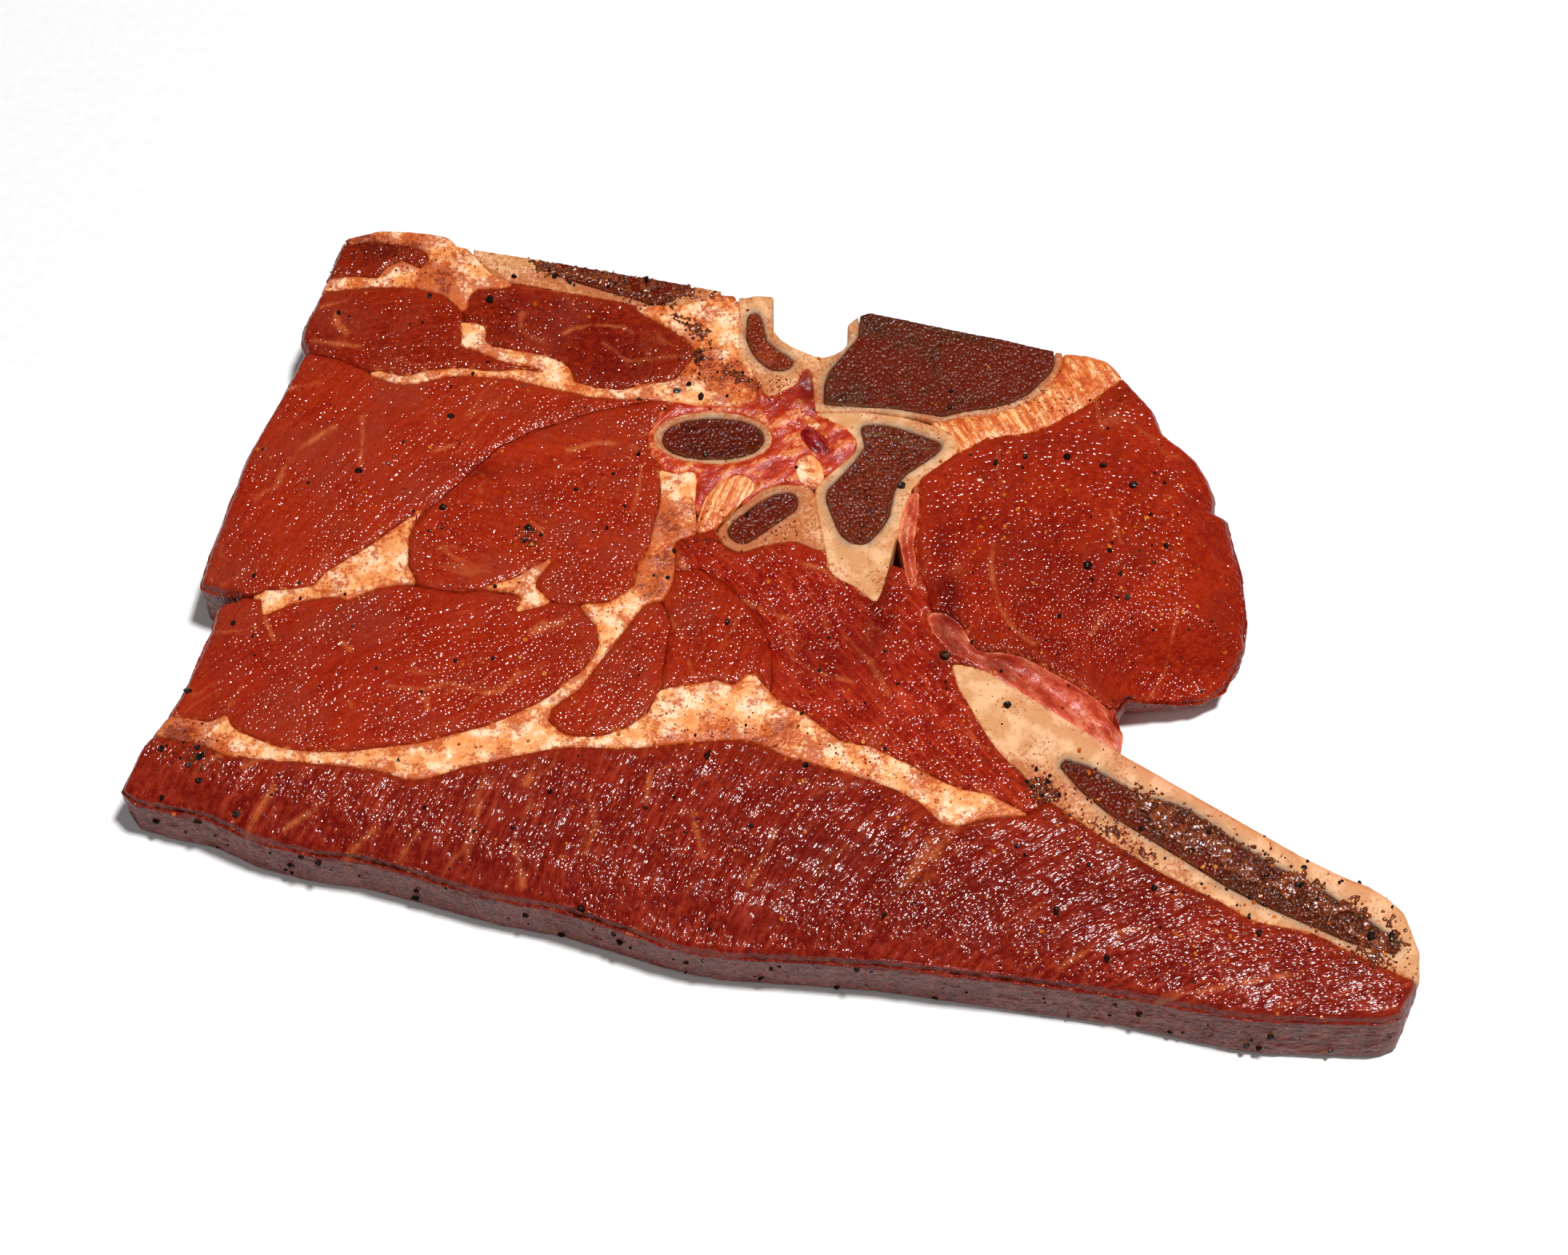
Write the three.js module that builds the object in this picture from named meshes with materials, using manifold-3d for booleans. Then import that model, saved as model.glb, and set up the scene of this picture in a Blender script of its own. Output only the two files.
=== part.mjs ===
import * as THREE from 'three';
import { mergeVertices } from 'three/addons/utils/BufferGeometryUtils.js';
import Module from 'manifold-3d';

// Raw bone-in chuck steak lying flat, +X along the rib end, +Y to the sawn backbone edge, +Z up (mm)

const wasm = await Module();
wasm.setup();

// Driving sizes
const THICKNESS = 19; // of the slice where it is flat
const GAP = 0.3; // between neighbouring pieces
const SEAM_FLARE = 0.8; // depth of the soft groove along a seam
const FOOT_ROUND = 0.9;
const RIM_ROUND = 1.3;
const SIDE_BULGE = 0.8; // how far knife-cut sides swell past their top edge
const SAWN_BULGE = 0.5;
const FRONT_SAG = 3; // drop of the top along the front edge
const FRONT_SAG_WIDTH = 14;
const RIGHT_SAG = 4.5; // drop of the round muscle's right rim, and of its lower rim
const LOWER_SAG = 10;
const MUSCLE_RISE = 0.5; // top of each kind of tissue against the mean surface
const FAT_RISE = 0.15;
const BONE_RISE = -0.15;
const MARROW_RISE = -0.7;

// Fineness of the surfaces
const FIELD_CELL = 13;
const CURVE_STEPS = 3;
const CURVE_ERROR = 0.27;
const MITRE_LIMIT = 0.3;
const ABOVE = 12;

// Colours of the food, roughness and slot
const LOOKS = {
  lean: { color: 0x9a2a18, roughness: 0.32 },
  darkLean: { color: 0x7a1612, roughness: 0.26 },
  browned: { color: 0x7b3423, roughness: 0.4 },
  fat: { color: 0xf0c69a, roughness: 0.36 },
  gristle: { color: 0xe2a27e, roughness: 0.3 },
  bone: { color: 0xe3c9a4, roughness: 0.42 },
  marrow: { color: 0x4c2a20, roughness: 0.5 },
  vessel: { color: 0x7d0a14, roughness: 0.12 },
};

// Small maths

const clamp01 = (v) => Math.min(1, Math.max(0, v));

const smooth = (v) => {
  const t = clamp01(v);
  return t * t * (3 - 2 * t);
};

function seeded(seed) {
  let state = seed;
  return () => {
    state = (state * 1664525 + 1013904223) % 4294967296;
    return state / 4294967296;
  };
}

// Height of a polyline at x, given as [x, y] knots with rising x
function lineAt(knots, x) {
  if (x <= knots[0][0]) return knots[0][1];
  for (let i = 1; i < knots.length; i += 1) {
    const [x1, y1] = knots[i];
    if (x <= x1) {
      const [x0, y0] = knots[i - 1];
      return y0 + ((y1 - y0) * (x - x0)) / (x1 - x0);
    }
  }
  return knots[knots.length - 1][1];
}

function catmull(p0, p1, p2, p3, t) {
  const blend = (a, b, c, d) =>
    0.5 * (2 * b + (c - a) * t + (2 * a - 5 * b + 4 * c - d) * t * t + (3 * b - a - 3 * c + d) * t * t * t);
  return [blend(p0[0], p1[0], p2[0], p3[0]), blend(p0[1], p1[1], p2[1], p3[1])];
}

// Smooth run of points through landmarks
function spline(points, steps) {
  const out = [];
  for (let i = 0; i < points.length - 1; i += 1) {
    const before = points[Math.max(0, i - 1)];
    const after = points[Math.min(points.length - 1, i + 2)];
    for (let s = 0; s < steps; s += 1) {
      out.push(catmull(before, points[i], points[i + 1], after, s / steps));
    }
  }
  out.push(points[points.length - 1]);
  return out;
}


// Drops the points that lie within CURVE_ERROR of the line through the ones kept
function thin(points) {
  if (points.length < 3) return points;
  const [ax, ay] = points[0];
  const [bx, by] = points[points.length - 1];
  const len = Math.hypot(bx - ax, by - ay);
  let far = 0;
  let worst = 0;
  points.forEach(([x, y], i) => {
    const across = Math.abs((bx - ax) * (y - ay) - (by - ay) * (x - ax)) / len;
    const off = len > 0 ? across : Math.hypot(x - ax, y - ay);
    if (off > worst) {
      worst = off;
      far = i;
    }
  });
  if (worst <= CURVE_ERROR) return [points[0], points[points.length - 1]];
  return thin(points.slice(0, far + 1)).concat(thin(points.slice(far)).slice(1));
}

const curve = (points) => thin(spline(points, CURVE_STEPS));

// Smooth closed curve through landmarks
function loop(points) {
  const n = points.length;
  const out = [];
  for (let i = 0; i < n; i += 1) {
    for (let s = 0; s < CURVE_STEPS; s += 1) {
      const around = [n - 1, 0, 1, 2].map((k) => points[(i + k) % n]);
      out.push(catmull(...around, s / CURVE_STEPS));
    }
  }
  const half = Math.floor(out.length / 2);
  return thin(out.slice(0, half + 1)).concat(thin(out.slice(half).concat([out[0]])).slice(1, -1));
}

function oval(cx, cy, rx, ry, turnDeg, count, squareness = 1) {
  const turn = (turnDeg * Math.PI) / 180;
  return Array.from({ length: count }, (_, i) => {
    const a = (2 * Math.PI * i) / count;
    const u = rx * Math.sign(Math.cos(a)) * Math.abs(Math.cos(a)) ** squareness;
    const v = ry * Math.sign(Math.sin(a)) * Math.abs(Math.sin(a)) ** squareness;
    return [cx + u * Math.cos(turn) - v * Math.sin(turn), cy + u * Math.sin(turn) + v * Math.cos(turn)];
  });
}

// Outline of a band: stations are [x, y, width] along its middle
function band(stations) {
  const mid = spline(stations.map(([x, y]) => [x, y]), CURVE_STEPS);
  const widths = spline(stations.map(([, , w], i) => [i, w]), CURVE_STEPS).map(([, w]) => w);
  const left = [];
  const right = [];
  mid.forEach(([x, y], i) => {
    const [ax, ay] = mid[Math.max(0, i - 1)];
    const [bx, by] = mid[Math.min(mid.length - 1, i + 1)];
    const len = Math.hypot(bx - ax, by - ay);
    const nx = -(by - ay) / len;
    const ny = (bx - ax) / len;
    left.push([x + (nx * widths[i]) / 2, y + (ny * widths[i]) / 2]);
    right.push([x - (nx * widths[i]) / 2, y - (ny * widths[i]) / 2]);
  });
  return thin(right).concat(thin(left.reverse()));
}

function counterClockwise(points) {
  let area = 0;
  points.forEach(([x, y], i) => {
    const [u, v] = points[(i + 1) % points.length];
    area += x * v - u * y;
  });
  return area > 0 ? points : points.slice().reverse();
}

// Unit normals, outward on a counter-clockwise ring: of each side, then of each corner
function ringNormals(ring) {
  const n = ring.length;
  const sides = ring.map(([x, y], i) => {
    const [u, v] = ring[(i + 1) % n];
    const len = Math.hypot(u - x, v - y) || 1;
    return [(v - y) / len, (x - u) / len];
  });
  const corners = sides.map(([u, v], i) => {
    const [s, t] = sides[(i + n - 1) % n];
    const len = Math.hypot(u + s, v + t) || 1;
    return [(u + s) / len, (v + t) / len];
  });
  return { sides, corners };
}

// Ring moved outwards by amount, mitred at its corners
function grow(ring, amount) {
  const { sides, corners } = ringNormals(ring);
  return ring.map(([x, y], i) => {
    const [nx, ny] = corners[i];
    const d = amount / Math.max(MITRE_LIMIT, nx * sides[i][0] + ny * sides[i][1]);
    return [x + nx * d, y + ny * d];
  });
}

// Solids

function toManifold(geometry) {
  const bare = geometry.clone();
  bare.deleteAttribute('normal');
  bare.deleteAttribute('uv');
  const merged = mergeVertices(bare, 1e-5);
  const vertProperties = new Float32Array(merged.attributes.position.array);
  const triVerts = new Uint32Array(merged.index.array);
  return new wasm.Manifold(new wasm.Mesh({ numProp: 3, vertProperties, triVerts }));
}

// Closed skin over rings of [x, y, z] points that have the same count
function skin(rings) {
  const n = rings[0].length;
  const positions = rings.flat(2);
  const index = [];
  for (let r = 0; r < rings.length - 1; r += 1) {
    for (let i = 0; i < n; i += 1) {
      const a = r * n + i;
      const b = r * n + ((i + 1) % n);
      index.push(a, b, b + n, a, b + n, a + n);
    }
  }
  const cap = (ring) => THREE.ShapeUtils.triangulateShape(ring.map(([x, y]) => new THREE.Vector2(x, y)), []);
  const top = (rings.length - 1) * n;
  cap(rings[0]).forEach(([a, b, c]) => index.push(a, c, b));
  cap(rings[rings.length - 1]).forEach(([a, b, c]) => index.push(top + a, top + b, top + c));
  const geometry = new THREE.BufferGeometry();
  geometry.setAttribute('position', new THREE.Float32BufferAttribute(positions, 3));
  geometry.setIndex(index);
  return toManifold(geometry);
}

const atHeight = (ring, z) => ring.map(([x, y]) => [x, y, z]);

function prism(outline) {
  const ring = counterClockwise(outline);
  return skin([atHeight(ring, -2), atHeight(ring, THICKNESS + ABOVE - 2)]);
}

// Room taken out of a neighbour: the outline with its gap, flared at the top for a soft seam
function clearance(outline, flare) {
  const ring = counterClockwise(outline);
  const snug = grow(ring, GAP);
  const rings = [atHeight(snug, -3)];
  if (flare > 0) {
    rings.push(atHeight(snug, THICKNESS - flare));
    rings.push(atHeight(grow(ring, GAP + flare * 2), THICKNESS + flare));
    rings.push(atHeight(grow(ring, GAP + flare * 2), THICKNESS + ABOVE));
  } else {
    rings.push(atHeight(snug, THICKNESS + ABOVE));
  }
  return skin(rings);
}

// Outer edge, counter-clockwise from the back left corner down the left side

const backLeft = curve([[-109, 109.3], [-111.7, 99.5], [-114, 92], [-117, 83.6], [-117.4, 79.6]]);
const leftNick = [[-115.8, 76.3]];
const leftSide = curve([
  [-117.5, 72.8], [-119.5, 66.5], [-123.6, 57.2], [-127.7, 46.6], [-130.8, 35], [-133.1, 26.3],
  [-135.3, 18], [-135.9, 13.6],
]);
const leftSlit = [
  [-136.2, 12], [-130.5, 10], [-125, 9.4], [-121, 9.2], [-121.4, 8.1], [-125, 7.2], [-129.6, 6.8],
];
const lowerLeft = curve([
  [-131.7, 5.6], [-132.4, 0], [-134.4, -5.7], [-137, -14.5], [-140.3, -22], [-145.2, -30],
  [-149.8, -39.4],
]);
const frontEdge = curve([
  [-148.4, -43.6], [-140, -46.4], [-131, -48.2], [-120, -53.1], [-106, -57], [-94, -58.8], [-80, -62.8],
  [-65, -67.5], [-50, -70.6], [-40, -74], [-20, -80.4], [0, -82.2], [20, -83.8], [35, -85.8],
  [50, -87.6], [75, -90.8], [100, -95.6], [118, -96.4], [130, -96.8],
]);
const ribEnd = curve([
  [134.6, -95.4], [136.2, -91.6], [138.3, -87], [138.9, -80], [138.2, -76.4], [136.6, -71.2],
  [133.4, -67.8],
]);
const ribBack = curve([[129.6, -65.1], [120, -60.6], [104, -50.6], [90.7, -41.5], [75.6, -32]]);
const stripEnd = curve([[76.5, -27], [76, -23], [75.3, -20.6]]);
const roundMuscleFoot = curve([[79.4, -15.4], [88, -14.4], [97, -13.6]]);
const roundMuscleSide = curve([
  [102.6, -10.6], [105.7, -4.8], [107.4, 1.4], [107.7, 10], [107.2, 18], [105.9, 25.4], [105, 31],
]);
const sideNick = [[100.4, 32.4], [101.8, 34.2]];
const roundMuscleBack = curve([
  [102.2, 37], [99.6, 43.6], [95.2, 48.6], [90.4, 52.8], [88.6, 59.1], [82.2, 68.2],
]);
const ligamentEdge = [[78.2, 72.7], [74, 74.3], [68.3, 75]];
const bodySaw = [[55, 78.7], [40, 82.3], [21, 87]];
const canal = curve([
  [18.6, 86.1], [16, 83.6], [16.3, 79.4], [15, 76.8], [12.4, 74.7], [8.8, 74], [4.2, 75.7], [0.2, 78.2],
  [-2.9, 81.8], [-3.6, 86.6], [-2.8, 91.8],
]);
const archSaw = [[-7.2, 92], [-9.2, 91.3], [-14, 92], [-16.6, 92.6], [-15.5, 93.5]];
const spineSaw = [[-26, 95.6], [-40, 98.4], [-60, 102.6], [-79.5, 106.2]];
const fatStep = curve([[-82, 107.8], [-84, 110], [-92, 111.4], [-100.6, 111.8]]);
const OUTLINE = [
  backLeft, leftNick, leftSide, leftSlit, lowerLeft, frontEdge, ribEnd, ribBack, stripEnd, roundMuscleFoot,
  roundMuscleSide, sideNick, roundMuscleBack, ligamentEdge, bodySaw, canal, archSaw, spineSaw, fatStep,
].flat();

// The saw leaves square edges; the rest is knife-cut meat with a soft rim
const sawn = new Set([ligamentEdge, bodySaw, canal, archSaw, spineSaw].flat());

// How far the foot of the front edge stands out past its top, along x
const FRONT_FOOT = [[-150, 0.9], [-60, 0.5], [-20, 0], [30, 0.2], [60, 1.2], [120, 1.9]];

// Top surface

const FRONT_LINE = [
  [-148, -43], [-120, -53], [-80, -63], [-40, -74], [0, -82], [50, -88], [100, -96], [130, -97],
];
const SWELLS = [
  { at: [72, 14], radius: 26, rise: 0.9 },
  { at: [-104, 46], radius: 22, rise: 0.8 },
  { at: [-92, -10], radius: 24, rise: 0.7 },
  { at: [-42, -14], radius: 11, rise: 0.5 },
  { at: [-52, 36], radius: 18, rise: 0.5 },
  { at: [-55, 83], radius: 13, rise: -0.6 },
  { at: [10, -4], radius: 16, rise: -1.1 },
  { at: [40, -62], radius: 18, rise: 0.5 },
];

function topHeight(x, y) {
  const front = lineAt(FRONT_LINE, x);
  const reach = 1 - smooth((y - front) / FRONT_SAG_WIDTH);
  const sag = FRONT_SAG * (1 - 0.7 * smooth((x - 70) / 40));
  const rightRim = smooth((x - 92) / 18) * smooth((y + 25) / 10) * RIGHT_SAG;
  const lowRim = smooth((5 - y) / 18) * smooth((x - 72) / 14) * smooth((y + 27) / 6) * LOWER_SAG;
  const leftRim = smooth((-126 - x) / 12);
  const swell = SWELLS.reduce((sum, { at, radius, rise }) => {
    const away = Math.hypot(x - at[0], y - at[1]) / radius;
    return sum + rise * Math.exp(-(away ** 2));
  }, 0);
  return THICKNESS - sag * reach - Math.max(rightRim, lowRim) - leftRim + swell;
}

// Height on the flat facets that underTop makes of the surface
function facetHeight(x, y) {
  const i = Math.floor(x / FIELD_CELL) * FIELD_CELL;
  const j = Math.floor(y / FIELD_CELL) * FIELD_CELL;
  const u = (x - i) / FIELD_CELL;
  const v = (y - j) / FIELD_CELL;
  const low = topHeight(i, j);
  const high = topHeight(i + FIELD_CELL, j + FIELD_CELL);
  if (u > v) {
    const side = topHeight(i + FIELD_CELL, j);
    return low + u * (side - low) + v * (high - side);
  }
  const side = topHeight(i, j + FIELD_CELL);
  return low + v * (side - low) + u * (high - side);
}

// Everything under the top surface moved by lift
function underTop(lift) {
  const [x0, x1, y0, y1] = [-13, 12, -9, 10].map((cells) => cells * FIELD_CELL);
  const nx = (x1 - x0) / FIELD_CELL;
  const ny = (y1 - y0) / FIELD_CELL;
  const positions = [];
  for (let j = 0; j <= ny; j += 1) {
    for (let i = 0; i <= nx; i += 1) {
      const x = x0 + i * FIELD_CELL;
      const y = y0 + j * FIELD_CELL;
      positions.push(x, y, topHeight(x, y) + lift);
    }
  }
  const corners = [[x0, y0], [x1, y0], [x1, y1], [x0, y1]].map(([x, y]) => [x, y, -4]);
  const base = positions.length / 3;
  positions.push(...corners.flat());
  const index = [];
  const at = (i, j) => j * (nx + 1) + i;
  for (let j = 0; j < ny; j += 1) {
    for (let i = 0; i < nx; i += 1) {
      index.push(at(i, j), at(i + 1, j), at(i + 1, j + 1), at(i, j), at(i + 1, j + 1), at(i, j + 1));
    }
  }
  // Walls fan from one bottom corner of each side
  for (let i = 0; i < nx; i += 1) index.push(base, at(i + 1, 0), at(i, 0));
  index.push(base, base + 1, at(nx, 0));
  for (let j = 0; j < ny; j += 1) index.push(base + 1, at(nx, j + 1), at(nx, j));
  index.push(base + 1, base + 2, at(nx, ny));
  for (let i = 0; i < nx; i += 1) index.push(base + 2, at(i, ny), at(i + 1, ny));
  index.push(base + 2, base + 3, at(0, ny));
  for (let j = 0; j < ny; j += 1) index.push(base + 3, at(0, j), at(0, j + 1));
  index.push(base + 3, base, at(0, 0));
  index.push(base, base + 2, base + 1, base, base + 3, base + 2);
  const geometry = new THREE.BufferGeometry();
  geometry.setAttribute('position', new THREE.Float32BufferAttribute(positions, 3));
  geometry.setIndex(index);
  return toManifold(geometry);
}

// Whole slab inside the outer edge, with a soft rim, a rounded foot and a front that stands out below
function slabWall() {
  const ring = OUTLINE;
  const { corners: normals } = ringNormals(ring);
  const levels = ring.map((point, i) => {
    const [x, y] = point;
    const soft = sawn.has(point) ? 0 : 1;
    const facing = smooth(-normals[i][1] * 1.6 - 0.3) * soft * (y < -25 ? 1 : 0);
    const rim = topHeight(x, y);
    const side = soft ? -SIDE_BULGE : -SAWN_BULGE;
    const tuck = soft * smooth((x - 72) / 8) * smooth((-4 - y) / 6) * smooth((y + 22) / 4) * 3;
    const lean = facing * (THICKNESS - rim) * 0.4 + side * (1 - facing);
    return { soft, rim, lean, under: lean + tuck - facing * lineAt(FRONT_FOOT, x) };
  });
  const place = (inset, height) =>
    ring.map(([x, y], i) => {
      const d = inset(levels[i]);
      return [x - normals[i][0] * d, y - normals[i][1] * d, height(levels[i])];
    });
  return skin([
    place(({ under, soft }) => under + soft * FOOT_ROUND, () => 0),
    place(({ under }) => under, () => FOOT_ROUND * 1.4),
    place(({ lean }) => lean, ({ rim }) => rim - 2),
    place(({ lean, soft }) => lean + soft * RIM_ROUND, ({ rim }) => rim + 0.4),
    place(({ lean, soft }) => lean + soft * RIM_ROUND, ({ rim }) => rim + ABOVE),
  ]);
}

// Outlines of the pieces, from the middle of the meat outwards

const MARROW = {
  spine_marrow: [
    [-58, 104], [-20, 97], [-24.8, 93.6], [-28, 90.6], [-33, 90], [-38, 92], [-44, 94], [-51, 96.6],
    [-57, 99],
  ],
  arch_marrow: loop([
    [-9, 86], [-6.6, 87.4], [-5.2, 84], [-4.4, 79.5], [-1, 76], [2.4, 73.4], [0.6, 70.8], [-3.4, 71],
    [-7, 74.6], [-9.2, 80],
  ]),
  body_marrow: [
    ...curve([[18, 92], [18.6, 82], [16.4, 77.4], [11, 70.5], [9.6, 65], [9.6, 61]]),
    ...curve([
      [14, 60.6], [24, 60.2], [32, 59], [38, 57.6], [44, 59.2], [50, 60], [57, 62.6], [62, 67],
      [65.4, 72.4], [65.8, 84],
    ]),
  ],
  process_marrow: oval(-17, 51.2, 12.2, 5.7, 0, 18, 0.9),
  rib_head_marrow: loop([
    [18.4, 54.4], [24, 55], [30, 53.2], [37.4, 49.8], [35.6, 46.4], [29, 41.4], [26, 36.5], [24.8, 30],
    [21, 24], [17.4, 22.2], [13.6, 24.6], [10.6, 32], [10.4, 37], [15.4, 43], [19.4, 49],
  ]),
  tubercle_marrow: loop([
    [-13.4, 26], [-8.3, 31.6], [-2.4, 35.7], [2.4, 35.8], [2.6, 31.4], [-3.8, 26.6], [-9.6, 22.4],
  ]),
  rib_marrow: band([
    [63, -34.6, 2], [67, -37.6, 5.4], [73, -42.6, 7], [80, -47.2, 8.6], [88, -51, 11], [98, -58.6, 10.4],
    [108, -65, 9.6], [117, -69.6, 8.6], [126, -75.4, 6.4], [134.6, -79.6, 3],
  ]),
};

const BONES = {
  spinous_bone: [
    [-77.4, 108], [-15.2, 97], [-15.4, 93.2], [-18.5, 91.6],
    ...curve([
      [-25, 89.8], [-35, 89.6], [-44, 91.8], [-55, 94.1], [-66.3, 96.4], [-72, 98.8], [-76.6, 104],
    ]),
  ],
  vertebra: [
    [68.4, 80], ...curve([
      [67.4, 72.4], [64.8, 67.2], [58.6, 61.7], [50, 58.2], [43.8, 57.6], [37.2, 55.8],
    ]),
    ...curve([
      [31, 57.6], [24, 59], [15, 59.4], [7.5, 59],
    ]), ...curve([[7.2, 66], [6.6, 70.6], [4.6, 70.8]]),
    ...curve([
      [3, 66.6], [-0.6, 64.4], [-4, 63.4], [-6.4, 67], [-8.4, 71.6], [-11, 74], [-11.2, 81], [-11, 88.4],
    ]),
    [-11.4, 98], [20, 98],
  ],
  process_bone: oval(-17.1, 51.5, 14.3, 7.3, -1, 22, 0.95),
  rib_head_bone: loop([
    [7.6, 58.1], [14, 58.6], [22, 58.4], [30, 56.8], [37, 54.3], [41, 51], [41, 47.4], [36.6, 43.4],
    [31.4, 39], [28.4, 32], [25.7, 20.8], [22.7, 9.6], [20.9, 7.2], [17, 10.8], [11.4, 14.2], [10, 19],
    [8.9, 27], [7.6, 37.3], [14.4, 44.4], [17.6, 49.4], [14.6, 54.6],
  ]),
  tubercle_bone: loop([
    [-15.4, 26.2], [-10.6, 32], [-4.4, 37.4], [1.6, 38.5], [6.9, 36.6], [8.2, 27], [9, 20.6], [3, 23],
    [-4, 22.2], [-9.6, 20.2], [-14, 22],
  ]),
  rib_bone: [
    ...curve([
      [38.6, -9.4], [46, -11.2], [54.4, -16.9], [66.7, -25.6], [75.7, -31.8],
    ]), [150, -76], [150, -92],
    ...curve([
      [138.6, -87.6], [130.5, -83.7], [123, -79.6], [115, -75.6], [104.3, -73.4], [96.5, -68.6],
      [84, -61.8], [72, -53.6], [62.5, -46.4], [57.2, -42], [53.4, -36.8], [47.8, -30.8], [43.4, -22],
      [40, -15.6],
    ]),
  ],
};

const SINEWS = {
  vein: oval(7.3, 50.6, 4.7, 2.2, -50, 14),
  upper_fat_pearl: oval(6.5, 56, 2.6, 1.1, -38, 10),
  lower_fat_pearl: oval(6.1, 42.2, 3.1, 4.6, 14, 14),
  back_ligament: [
    [68, 82], [80.4, 73],
    ...curve([
      [81.8, 68.5], [76.8, 64.2], [69.9, 58.5], [61.9, 54], [55.5, 52.2], [48.2, 51.4], [42, 47.4],
    ]), [39, 46.4],
    [35, 57], [58, 66],
  ],
  rib_ligament: loop([
    [-10, 41], [-7, 37.4], [-13, 31], [-16.6, 26.4], [-20.2, 25.6], [-20, 30], [-18.6, 35], [-15, 39],
  ]),
  vessel_finger: loop([
    [28.8, 34], [32.1, 36.6], [31.6, 28], [30.6, 22.6], [31.2, 14], [29.8, 10.2], [28.4, 14],
    [27.6, 19.4], [27, 27],
  ]),
  vessel_strip: [
    ...curve([
      [33, 3.4], [37, 4.2], [41.2, 1], [44.6, -5.6], [51, -6.3], [57.3, -8.6], [63.1, -12.6],
      [70.2, -16.7], [76, -20],
    ]),
    [80, -24], [80, -33],
    ...curve([[75.3, -33], [66.5, -25.2], [54.4, -16.4], [46, -10.6], [38.6, -6.6], [34.6, -1.4]]),
  ],
};

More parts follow.
